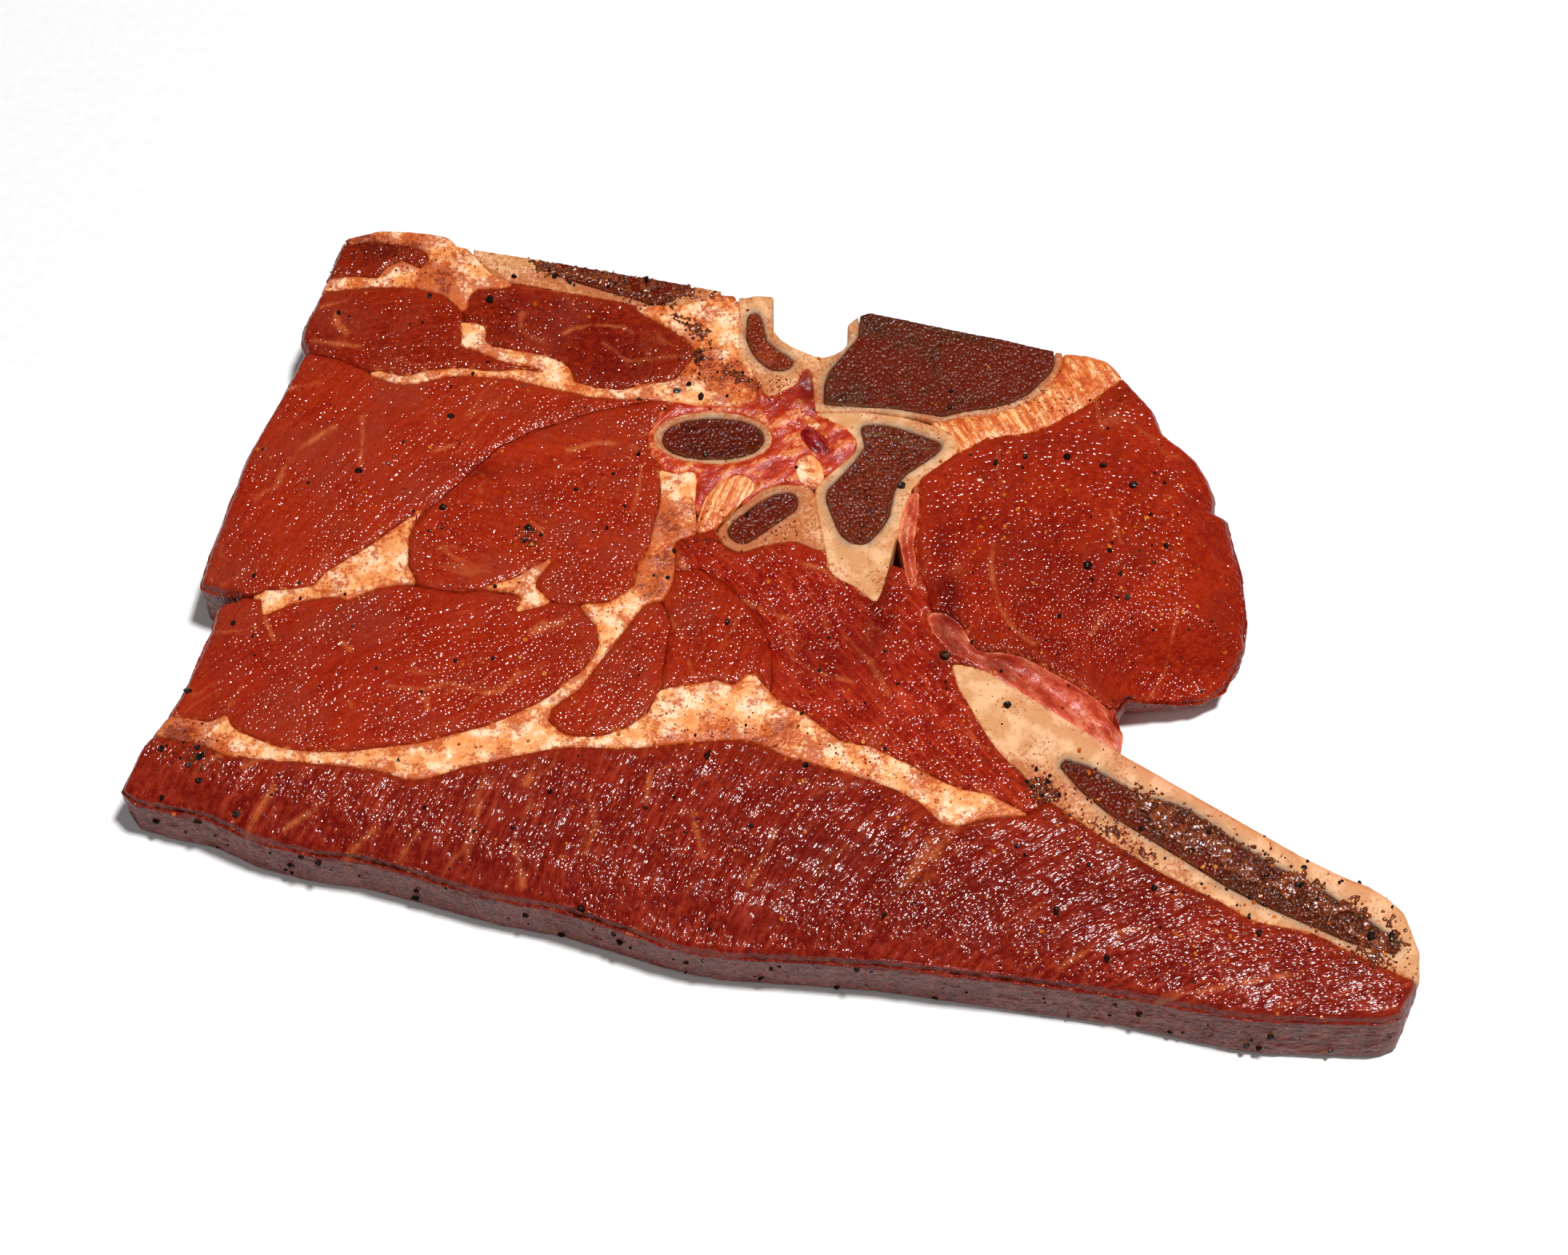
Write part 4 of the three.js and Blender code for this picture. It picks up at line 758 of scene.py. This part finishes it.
def boneMaterial(name, stain):
    s = boneLook
    material, tree, place, seam, spice, marrowSeam, rimStain = started(name,
                                                                       "seam spice marrowSeam rimStain")
    cloud, mottle, drift, speck = patterns(tree, place, s["patterns"])
    sawn = turnedPlace(tree, place, s["sawTurn"], s["sawStretch"])
    saw = add(tree, "TexNoise", {"Vector": sawn, "Scale": 1000 / s["saw"], "Detail": 3, "Roughness": 0.7})
    wide = add(tree, "MapRange", [mottle, 0.36, 0.64, stain, 1 + stain], clamp=False)
    region = add(tree, "MapRange", [drift, 0.35, 0.65, -0.3, 0.3])
    spread = add(tree, "Math", [spice, 0.4, region], operation="MULTIPLY_ADD")
    oil = add(tree, "Math", [wide, spread], operation="ADD")
    wetEdge = add(tree, "Math", [seam, 0.35, oil], operation="MULTIPLY_ADD")
    tintShare = add(tree, "Math", [rimStain, 0.7], operation="MULTIPLY", use_clamp=True)
    colour = layered(tree, s["ivory"], [
        (cloud, 0.45, 0.6, 0, 0.85, s["light"]), (tintShare, s["tint"]),
        # painted shade: grey where the bone meets the sunken marrow
        (marrowSeam, 0.12, 0.85, 0, 0.85, s["grey"]), (wetEdge, 0.78, 1.15, 0, 0.8, s["rust"]),
        (speck, 0.09, 0.17, 0.55, 0, s["speck"]),
    ])
    height = add(tree, "Math", [saw, 0.8, mottle], operation="MULTIPLY_ADD")
    finished(tree, colour, height, s)
    return material


# Red marrow in spongy bone: dark brown, gritty with cut bone cells, each holding a wet glint
marrowLook = {
    "spice": "6e2006", "bone": "6a5038", "filmTint": "f0bc94",
    "patterns": {"cell": (0.95,), "cloud": (5, 5, 0.65), "drift": (3, 4, 0.7), "grit": (0.9, 3, 0.7)},
    "cellHeight": 0.34, "bumpHeight": 0.2, "bumpStrength": 1,  # mm
    "roughness": 0.6, "specular": 0.05, "coat": 0.55, "coatRoughness": 0.12, "coatIor": 1.45,
}


def marrowMaterial(name, look):
    s = marrowLook
    deep, mid, pale = look["tones"]
    material, tree, place, seam, spice, marble = started(name, "seam spice marble")
    cell, cloud, drift, grit = patterns(tree, place, s["patterns"])
    oil = add(tree, "Math", [spice, 0.5, cloud], operation="MULTIPLY_ADD")
    colour = layered(tree, mid, [
        (drift, 0.36, 0.52, 1, 0, deep), (grit, 0.48, 0.66, 0, 0.85, pale),
        (oil, 0.52, 0.72, 0, 0.75, s["spice"]), (seam, 0.3, 1, 0, 0.75, s["bone"]), (marble, s["bone"]),
    ])
    dome = add(tree, "Math", [cell, cell], operation="MULTIPLY")
    height = add(tree, "Math", [dome, -s["cellHeight"] / s["bumpHeight"], grit], operation="MULTIPLY_ADD")
    finished(tree, filmed(tree, colour, s["filmTint"]), height, s)
    return material


# Connective tissue: wet bands of fibre between meat and bone, striped where the knife crossed them
gristleLook = {
    "patterns": {"mottle": (1.3, 4, 0.7), "speck": (1.3,)}, "speck": "8a3408", "bumpHeight": 0.3,
    "bumpStrength": 0.9,  # mm
    "roughness": 0.5, "specular": 0.2, "coat": 0.9, "coatRoughness": 0.1, "coatIor": 1.45,
}
# Tones, then the stripes' angle in degrees, their narrowness, width in mm, and the share of specks
gristleLooks = {
    "back_ligament": ("e47c36", "f8c486", "bc420c", "a83a12", 118, 0.2, 1.5, 0.5),
    "rib_ligament": ("e8863f", "ffca90", "c84a16", "a83a12", 70, 0.14, 1.1, 0.3),
    "vessel_finger": ("cc5436", "ee9068", "a62a14", "74090a", 100, 0.6, 3.4, 0.1),
    "vessel_strip": ("d25436", "ec8560", "a82814", "74090a", 140, 0.6, 3.6, 0.15),
    "joint_tissue": ("c23a14", "ea8a50", "a0200c", "6c0606", 35, 0.6, 2.6, 0.3),
    "vein": ("8a0c12", "b43c38", "5c0308", "4c0204", 0, 1, 3, 0),
}


def gristleMaterial(name, base, light, dark, bloodTone, angle, stretch, pitch, speckShare):
    s = gristleLook
    material, tree, place, spice, blood = started(name, "spice blood")
    striped = turnedPlace(tree, place, angle, 1 / stretch)
    strand = add(tree, "TexNoise",
                 {"Vector": striped, "Scale": 1000 / pitch, "Detail": 3, "Roughness": 0.6})
    mottle, speck = patterns(tree, place, s["patterns"])
    wide = add(tree, "MapRange", [mottle, 0.35, 0.65])
    oil = add(tree, "Math", [spice, 0.7, wide], operation="MULTIPLY_ADD")
    bloodShare = add(tree, "Math", [blood, 0.85], operation="MULTIPLY", use_clamp=True)
    colour = layered(tree, base, [
        (strand, 0.36, 0.48, 0.8, 0, dark), (strand, 0.5, 0.62, 0, 0.9, light),
        (oil, 0.6, 1.1, 0, 0.8, dark), (bloodShare, bloodTone),
        (speck, 0.1, 0.2, speckShare, 0, s["speck"]),
    ])
    height = add(tree, "Math", [strand, 2, mottle], operation="MULTIPLY_ADD")
    finished(tree, colour, height, s)
    return material


print("meat slice: materials")
fatFinish = fatMaterial("beefFatSatin")
for node, piece in pieces.items():
    look = nodeLooks[node]
    if look["kind"] == "meat":
        finish = leanMaterial(camel(node) + "LeanWet", look)
    elif look["kind"] == "gristle":
        finish = gristleMaterial(camel(node) + "Connective", *gristleLooks[node])
    elif look["kind"] == "marrow":
        finish = marrowMaterial(camel(node) + "Spongy", look)
    elif look["kind"] == "bone":
        finish = boneMaterial(camel(node) + "Sawn", look["stain"])
    else:
        finish = fatFinish
    piece.data.materials.append(finish)
    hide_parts(node)
    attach(piece, "root")
bpy.context.view_layer.update()


# Loose spice
draw = np.random.default_rng(41)
depsgraph = bpy.context.evaluated_depsgraph_get()


def landed(x, y, z=50, way=(0, 0, -1)):
    # the point of the slice that lies under a place in mm, or behind it
    start = (np.array([x, y, z]) + [*pictureMiddle, 0]) * mm
    hit, spot, *rest = scene.ray_cast(depsgraph, Vector(start), Vector(way))
    return np.array(spot) if hit else None


def grainModel(radius, rough, cuts):
    # one grain: a ball with uneven corners and a few split faces
    bpy.ops.mesh.primitive_ico_sphere_add(subdivisions=cuts, radius=radius)
    grain = bpy.context.object
    points = readPoints(grain.data)
    normals = readNormals(grain.data)
    points += normals * (draw.uniform(-rough, rough, len(points)) * radius / mm)[:, None]
    writePoints(grain.data, points)
    only(grain)
    bpy.ops.object.mode_set(mode="EDIT")
    for turn in range(2):
        bpy.ops.mesh.select_all(action="SELECT")
        way = Vector(draw.normal(size=3)).normalized()
        bpy.ops.mesh.bisect(plane_co=way * radius * 0.5, plane_no=way, use_fill=True, clear_outer=True)
    bpy.ops.mesh.select_all(action="SELECT")
    bpy.ops.mesh.quads_convert_to_tris()
    bpy.ops.object.mode_set(mode="OBJECT")
    corners = readPoints(grain.data) + [*pictureMiddle, 0]
    faces = np.array([list(p.vertices) for p in grain.data.polygons])
    bpy.data.objects.remove(grain)
    return corners, faces


def joined(name, models, places):
    # one mesh with a turned copy of a model at each place: point in m, radius in mm, radii it stands up
    corners, faces, start = [], [], 0
    for point, radius, sunk in places:
        shape, sides = models[draw.integers(len(models))]
        turn = np.array(Matrix.Rotation(draw.uniform(0, 6.28), 3, Vector(draw.normal(size=3)).normalized()))
        size = radius * draw.uniform(0.75, 1.15, 3) * (1, 1, 0.8)
        copy = (shape @ turn.T) * size * mm
        copy = copy + point + np.array([0, 0, radius * sunk * mm])
        corners.append(copy)
        faces.append(sides + start)
        start += len(shape)
    mesh = bpy.data.meshes.new(name)
    mesh.from_pydata(np.concatenate(corners).tolist(), [], np.concatenate(faces).tolist())
    mesh.update()
    piece = bpy.data.objects.new(name, mesh)
    scene.collection.objects.link(piece)
    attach(piece, "root")
    return piece


bigPepper = {
    "places": [
        (-72, 91, 1.05), (-87, 92, 0.8), (-20, 63, 1.0), (71, 15.6, 1.05), (67.4, 45.6, 0.9),
        (83, 37.6, 1.0), (89.6, 21, 0.9), (-80, 57, 0.8), (-101, 41.4, 0.85), (-136.8, -16, 0.9),
        (-132, -33.2, 1.2), (-140.6, -42, 0.9), (-123, -46.6, 0.95), (37, -7.8, 1.1), (51, -20.2, 1.05),
        (70.6, -82, 0.9), (22, -72, 0.8), (-45, -69.4, 0.85), (60, -71, 0.9), (-13, 1.2, 0.8),
        (104.4, -76.4, 0.95), (5, -35.4, 0.8), (-80.6, 31.6, 0.85), (-52.6, -42, 0.7), (-17.4, -33.4, 0.85),
        (129, -77, 1.1), (133.5, -77, 0.95), (56, -40.5, 0.8), (80, -51, 0.8), (95, -52, 0.7),
        (114, -64.5, 1.05), (50.5, 44, 0.9), (28, 38, 1.0), (40, 60, 0.8), (-25.8, 64.6, 0.8),
        (-23, 66.5, 0.7), (-25.8, 20.5, 0.8), (-67, -8.5, 0.6), (-18.8, 46.5, 0.7), (57.5, 46, 0.7),
        (-60.2, 26, 0.9), (-61, 22.5, 0.7), (-57, 24, 0.6), (58, -43, 0.7), (60, -38, 0.6),
        (86.5, 29.5, 0.55), (71.8, 12, 0.6),
    ],
    "small": 420, "smallRadius": (0.2, 0.6), "crowdRadius": (0.35, 0.95),
    "front": 60, "frontX": (-145, 135), "frontUp": (2, 15), "frontRadius": (0.3, 0.95), "frontStart": -140,
    "crowd": [(112, -66, 16, 3, 26), (-40, 98, 16, 1.5, 16), (58, -41, 4, 2.5, 7), (84, 24, 9, 14, 12),
              (-22, 74, 4, 3, 6), (-136, -32, 5, 4, 6)],
}
crumbClusters = [  # centre, radii in mm, turn, count of crumbs, largest radius
    (100, -58, 34, 6, -31, 380, 0.45), (-40, 97.5, 26, 3.5, -12, 220, 0.45), (-20, 72, 9, 6, 0, 150, 0.4),
    (58, -42, 8, 5, -30, 130, 0.45), (126, -82, 12, 4, -25, 130, 0.4), (-60, 23, 4, 3, 0, 40, 0.45),
    (-135, -30, 9, 6, 0, 110, 0.4), (0, 64, 7, 6, 0, 90, 0.35), (60, 62, 16, 5, -10, 140, 0.35),
    (76, -52, 8, 5, -30, 100, 0.45), (37, -8, 3, 2, 0, 30, 0.4), (-96, 103, 14, 6, 0, 160, 0.35),
    (-8, 26, 16, 6, 0, 130, 0.35), (0, -30, 40, 7, -12, 170, 0.35), (40, 68, 22, 10, 0, 110, 0.35),
]
paprika = {"count": 3400, "radius": (0.1, 0.27)}
granules = {
    "count": 260, "radius": (0.28, 0.66),
    "crowd": [(55, 28, 16, 30), (100, -70, 18, 40), (68, -45, 8, 16), (-5, -30, 20, 20), (98, 5, 10, 12),
              (86, 22, 14, 26)],
}
# Thick wet paste: the line it lies along in mm, half width, count of lumps, largest radius
pasteBands = [
    ([(78, -44), (85, -49), (92, -53.5), (100, -58), (110, -63.5), (120, -69.5), (129, -75.5), (133, -78)],
     4.0, 3000, 0.75),
    ([(-64, 101.6), (-50, 98.8), (-39, 96), (-29, 94), (-18, 92.6)], 1.8, 1300, 0.7),
    ([(-44, 96), (-28, 91)], 3.4, 420, 0.6), ([(-28, 88), (-22, 83), (-18, 80)], 2.2, 160, 0.55),
    ([(-14, 70), (-9, 67)], 2.2, 120, 0.55), ([(56, -40), (60, -43)], 2.6, 200, 0.7),
    ([(-62, 25), (-58, 23)], 2.2, 80, 0.6), ([(36, -7), (38, -8)], 1.4, 40, 0.5),
    ([(126, -80), (133, -83)], 2.2, 150, 0.55), ([(66, -48), (74, -52), (84, -60)], 2.6, 170, 0.55),
    ([(-24, 73), (-18, 75)], 2.4, 130, 0.55), ([(-138, -31), (-128, -36)], 3, 110, 0.5),
]
pasteGap = 2.6  # mm, size of the gaps where bone or marrow shows
spiceBox = {"x": (-148, 138), "y": (-100, 108)}  # mm

print("loose spice: pepper, crumbs, granules")
chips = [grainModel(mm, 0.2, 2) for n in range(5)]
crumbs = [grainModel(mm, 0.22, 1) for n in range(4)]


def spread(count):
    return zip(*(draw.uniform(*spiceBox[axis], count) for axis in "xy"))


def sized(limits, bend):
    return limits[0] + (limits[1] - limits[0]) * draw.random() ** bend


def settled(found, sunk):
    return [(hit, r, sunk) for x, y, r in found if (hit := landed(x, y)) is not None]


def pepperPlaces():
    found = list(bigPepper["places"])
    found += [(x, y, sized(bigPepper["smallRadius"], 2.2)) for x, y in spread(bigPepper["small"])]
    for cx, cy, rx, ry, count in bigPepper["crowd"]:
        found += [(cx + draw.normal() * rx, cy + draw.normal() * ry, sized(bigPepper["crowdRadius"], 1.5))
                  for n in range(count)]
    places = settled(found, 0.25)
    for x, z in zip(*(draw.uniform(*bigPepper[key], bigPepper["front"]) for key in ("frontX", "frontUp"))):
        if (hit := landed(x, bigPepper["frontStart"], z, (0, 1, 0))) is not None:
            places.append((hit, sized(bigPepper["frontRadius"], 1.6), 0))
    return places


def crumbPlaces():
    found = []
    for cx, cy, rx, ry, angle, count, most in crumbClusters:
        a = math.radians(angle)
        for u, v in zip(draw.normal(size=count) * rx * 0.5, draw.normal(size=count) * ry * 0.5):
            spot = (cx + u * math.cos(a) - v * math.sin(a), cy + u * math.sin(a) + v * math.cos(a))
            found.append((*spot, sized((0.14, most), 1.6)))
    found += [(x, y, sized(paprika["radius"], 2)) for x, y in spread(paprika["count"])]
    return settled(found, 0.2)


def pastePlaces():
    found = []
    for line, width, count, most in pasteBands:
        knots = np.array(line, float)
        for t in draw.uniform(0, len(knots) - 1.001, count):
            n = int(t)
            x, y = knots[n] + (knots[n + 1] - knots[n]) * (t - n)
            x, y = x + draw.normal() * width * 0.5, y + draw.normal() * width * 0.5
            thick = float(flatNoise(np.array([x]), np.array([y]), pasteGap, 91, 2)[0])
            if thick > -0.2:
                found.append((x, y, sized((0.25, most), 1.4)))
    return settled(found, 0.25)


def granulePlaces():
    spots = list(spread(granules["count"]))
    for cx, cy, radius, count in granules["crowd"]:
        spots += [(cx + draw.normal() * radius * 0.6, cy + draw.normal() * radius * 0.6)
                  for n in range(count)]
    return settled([(x, y, sized(granules["radius"], 1.5)) for x, y in spots], 0.2)


grainLooks = {
    # spice paste: chilli skins and oil, thick and wet
    "marinadePaste": {
        "tones": ("4a1607", "78300c", "b05a18"), "sizes": (1.6, 0.55),
        "roughness": 0.5, "specular": 0.2, "coat": 0.8, "coatRoughness": 0.1,
    },
    # cracked black pepper: near black rind with a few brown split faces, wet with oil
    "crackedPepper": {
        "tones": ("0c0603", "170b05", "3c200e"), "sizes": (3, 0.5),
        "roughness": 0.55, "specular": 0.15, "coat": 0.35, "coatRoughness": 0.15,
    },
    # crumbs of wet paprika and chilli paste
    "paprikaCrumbs": {
        "tones": ("5a1607", "86290a", "a8460e"), "sizes": (4, 0.6),
        "roughness": 0.45, "ior": 1.42, "coat": 0.7, "coatRoughness": 0.14,
    },
    # granulated garlic and orange peel, soaked amber
    "amberGranules": {
        "tones": ("c2590f", "d97c22", "9a3a0a"), "sizes": (5, 0.7),
        "roughness": 0.35, "ior": 1.45, "coat": 0.6, "coatRoughness": 0.12,
    },
}
grainRelief = {"bumpHeight": 0.12, "bumpStrength": 0.8}  # mm


def grainMaterial(name, look):
    # base tone, drifting tone and flecks, with the sizes in mm of the drift and the flecks
    (base, other, fleck), (drift, grit) = look["tones"], look["sizes"]
    material, tree, place = started(name)
    tint, fine = patterns(tree, place, {"tint": (drift, 2, 0.5), "fine": (grit, 3, 0.5)})
    colour = layered(tree, base, [(tint, 0.42, 0.6, 0, 1, other), (fine, 0.5, 0.7, 0, 0.7, fleck)])
    finished(tree, colour, fine, dict(grainRelief, **look))
    return material


spices = {
    "marinadePaste": joined("marinadePaste", crumbs, pastePlaces()),
    "crackedPepper": joined("crackedPepper", chips, pepperPlaces()),
    "paprikaCrumbs": joined("paprikaCrumbs", crumbs, crumbPlaces()),
    "amberGranules": joined("amberGranules", chips, granulePlaces()),
}
applied(spices["marinadePaste"], "REMESH", mode="VOXEL", voxel_size=0.26 * mm, use_smooth_shade=True)
applied(spices["marinadePaste"], "SMOOTH", factor=0.5, iterations=1)
print("triangles of the paste", 2 * len(spices["marinadePaste"].data.polygons))
for name, piece in spices.items():
    piece.data.materials.append(grainMaterial(name + "Finish", grainLooks[name]))


# Floor, lamps and camera
studio = {
    "floor": "fafafa", "floorGrain": "f0f0f0", "floorSize": 8, "floorGrainSize": 2.5,
    "roughness": 0.9, "specular": 0.1,
    "lampSize": 0.2, "lampAway": 1.6, "lampTilt": 13, "lampTurn": 5, "lampPower": 27,
    "fillSize": 2.2, "fillPower": 8, "fillPlace": (-0.5, -0.9, 1.5), "lampTarget": (0, 0, 0.01),
    "worldTone": "ffffff", "worldShare": 0.01, "worldSeen": 0.95,
    "cameraLift": 62, "cameraAway": 0.7058, "cameraTarget": 0.019, "lens": 70, "sensor": 36,
}
bpy.ops.mesh.primitive_plane_add(size=studio["floorSize"])
floor = bpy.context.object
floor.name = "floor"
material, tree, place = started("whiteCard")
grain, = patterns(tree, place, {"grain": (studio["floorGrainSize"], 2, 0.5)})
card = tree.nodes["Principled BSDF"].inputs
tree.links.new(layered(tree, studio["floor"], [(grain, studio["floorGrain"])]), card["Base Color"])
for key in ("roughness", "specular"):
    card[shineInputs[key]].default_value = studio[key]
floor.data.materials.append(material)


def areaLamp(name, place, size, power):
    light = bpy.data.lights.new(name, "AREA")
    light.shape, light.size, light.energy = "DISK", size, power
    lamp = bpy.data.objects.new(name, light)
    lamp.location = place
    lamp.rotation_euler = (Vector(studio["lampTarget"]) - Vector(place)).to_track_quat("-Z", "Y").to_euler()
    scene.collection.objects.link(lamp)
    return lamp


tilt, turn, far = math.radians(studio["lampTilt"]), math.radians(studio["lampTurn"]), studio["lampAway"]
aside = far * math.sin(tilt)
overhead = (aside * math.cos(turn), aside * math.sin(turn), far * math.cos(tilt))
areaLamp("overheadLamp", overhead, studio["lampSize"], studio["lampPower"])
fill = areaLamp("softFill", studio["fillPlace"], studio["fillSize"], studio["fillPower"])
fill.visible_glossy = False  # the room's pale walls, which leave no sheen on the wet cut

world = bpy.data.worlds.new("paleRoom")
scene.world = world
world.use_nodes = True
sky = world.node_tree
background = sky.nodes["Background"]
seen = add(sky, "LightPath", out="Is Camera Ray")
strength = add(sky, "MapRange", [seen, 0, 1, studio["worldShare"], studio["worldSeen"]])
sky.links.new(strength, background.inputs["Strength"])
background.inputs["Color"].default_value = linear(studio["worldTone"])
scene.view_settings.view_transform = "Standard"

lift = math.radians(studio["cameraLift"])
target = Vector((*pictureMiddle * mm, studio["cameraTarget"]))
cameraData = bpy.data.cameras.new("camera")
cameraData.lens, cameraData.sensor_width = studio["lens"], studio["sensor"]
camera = bpy.data.objects.new("camera", cameraData)
camera.location = target + Vector((0, -math.cos(lift), math.sin(lift))) * studio["cameraAway"]
camera.rotation_euler = (math.pi / 2 - lift, 0, 0)
scene.collection.objects.link(camera)
scene.camera = camera

print("meat slice: done")
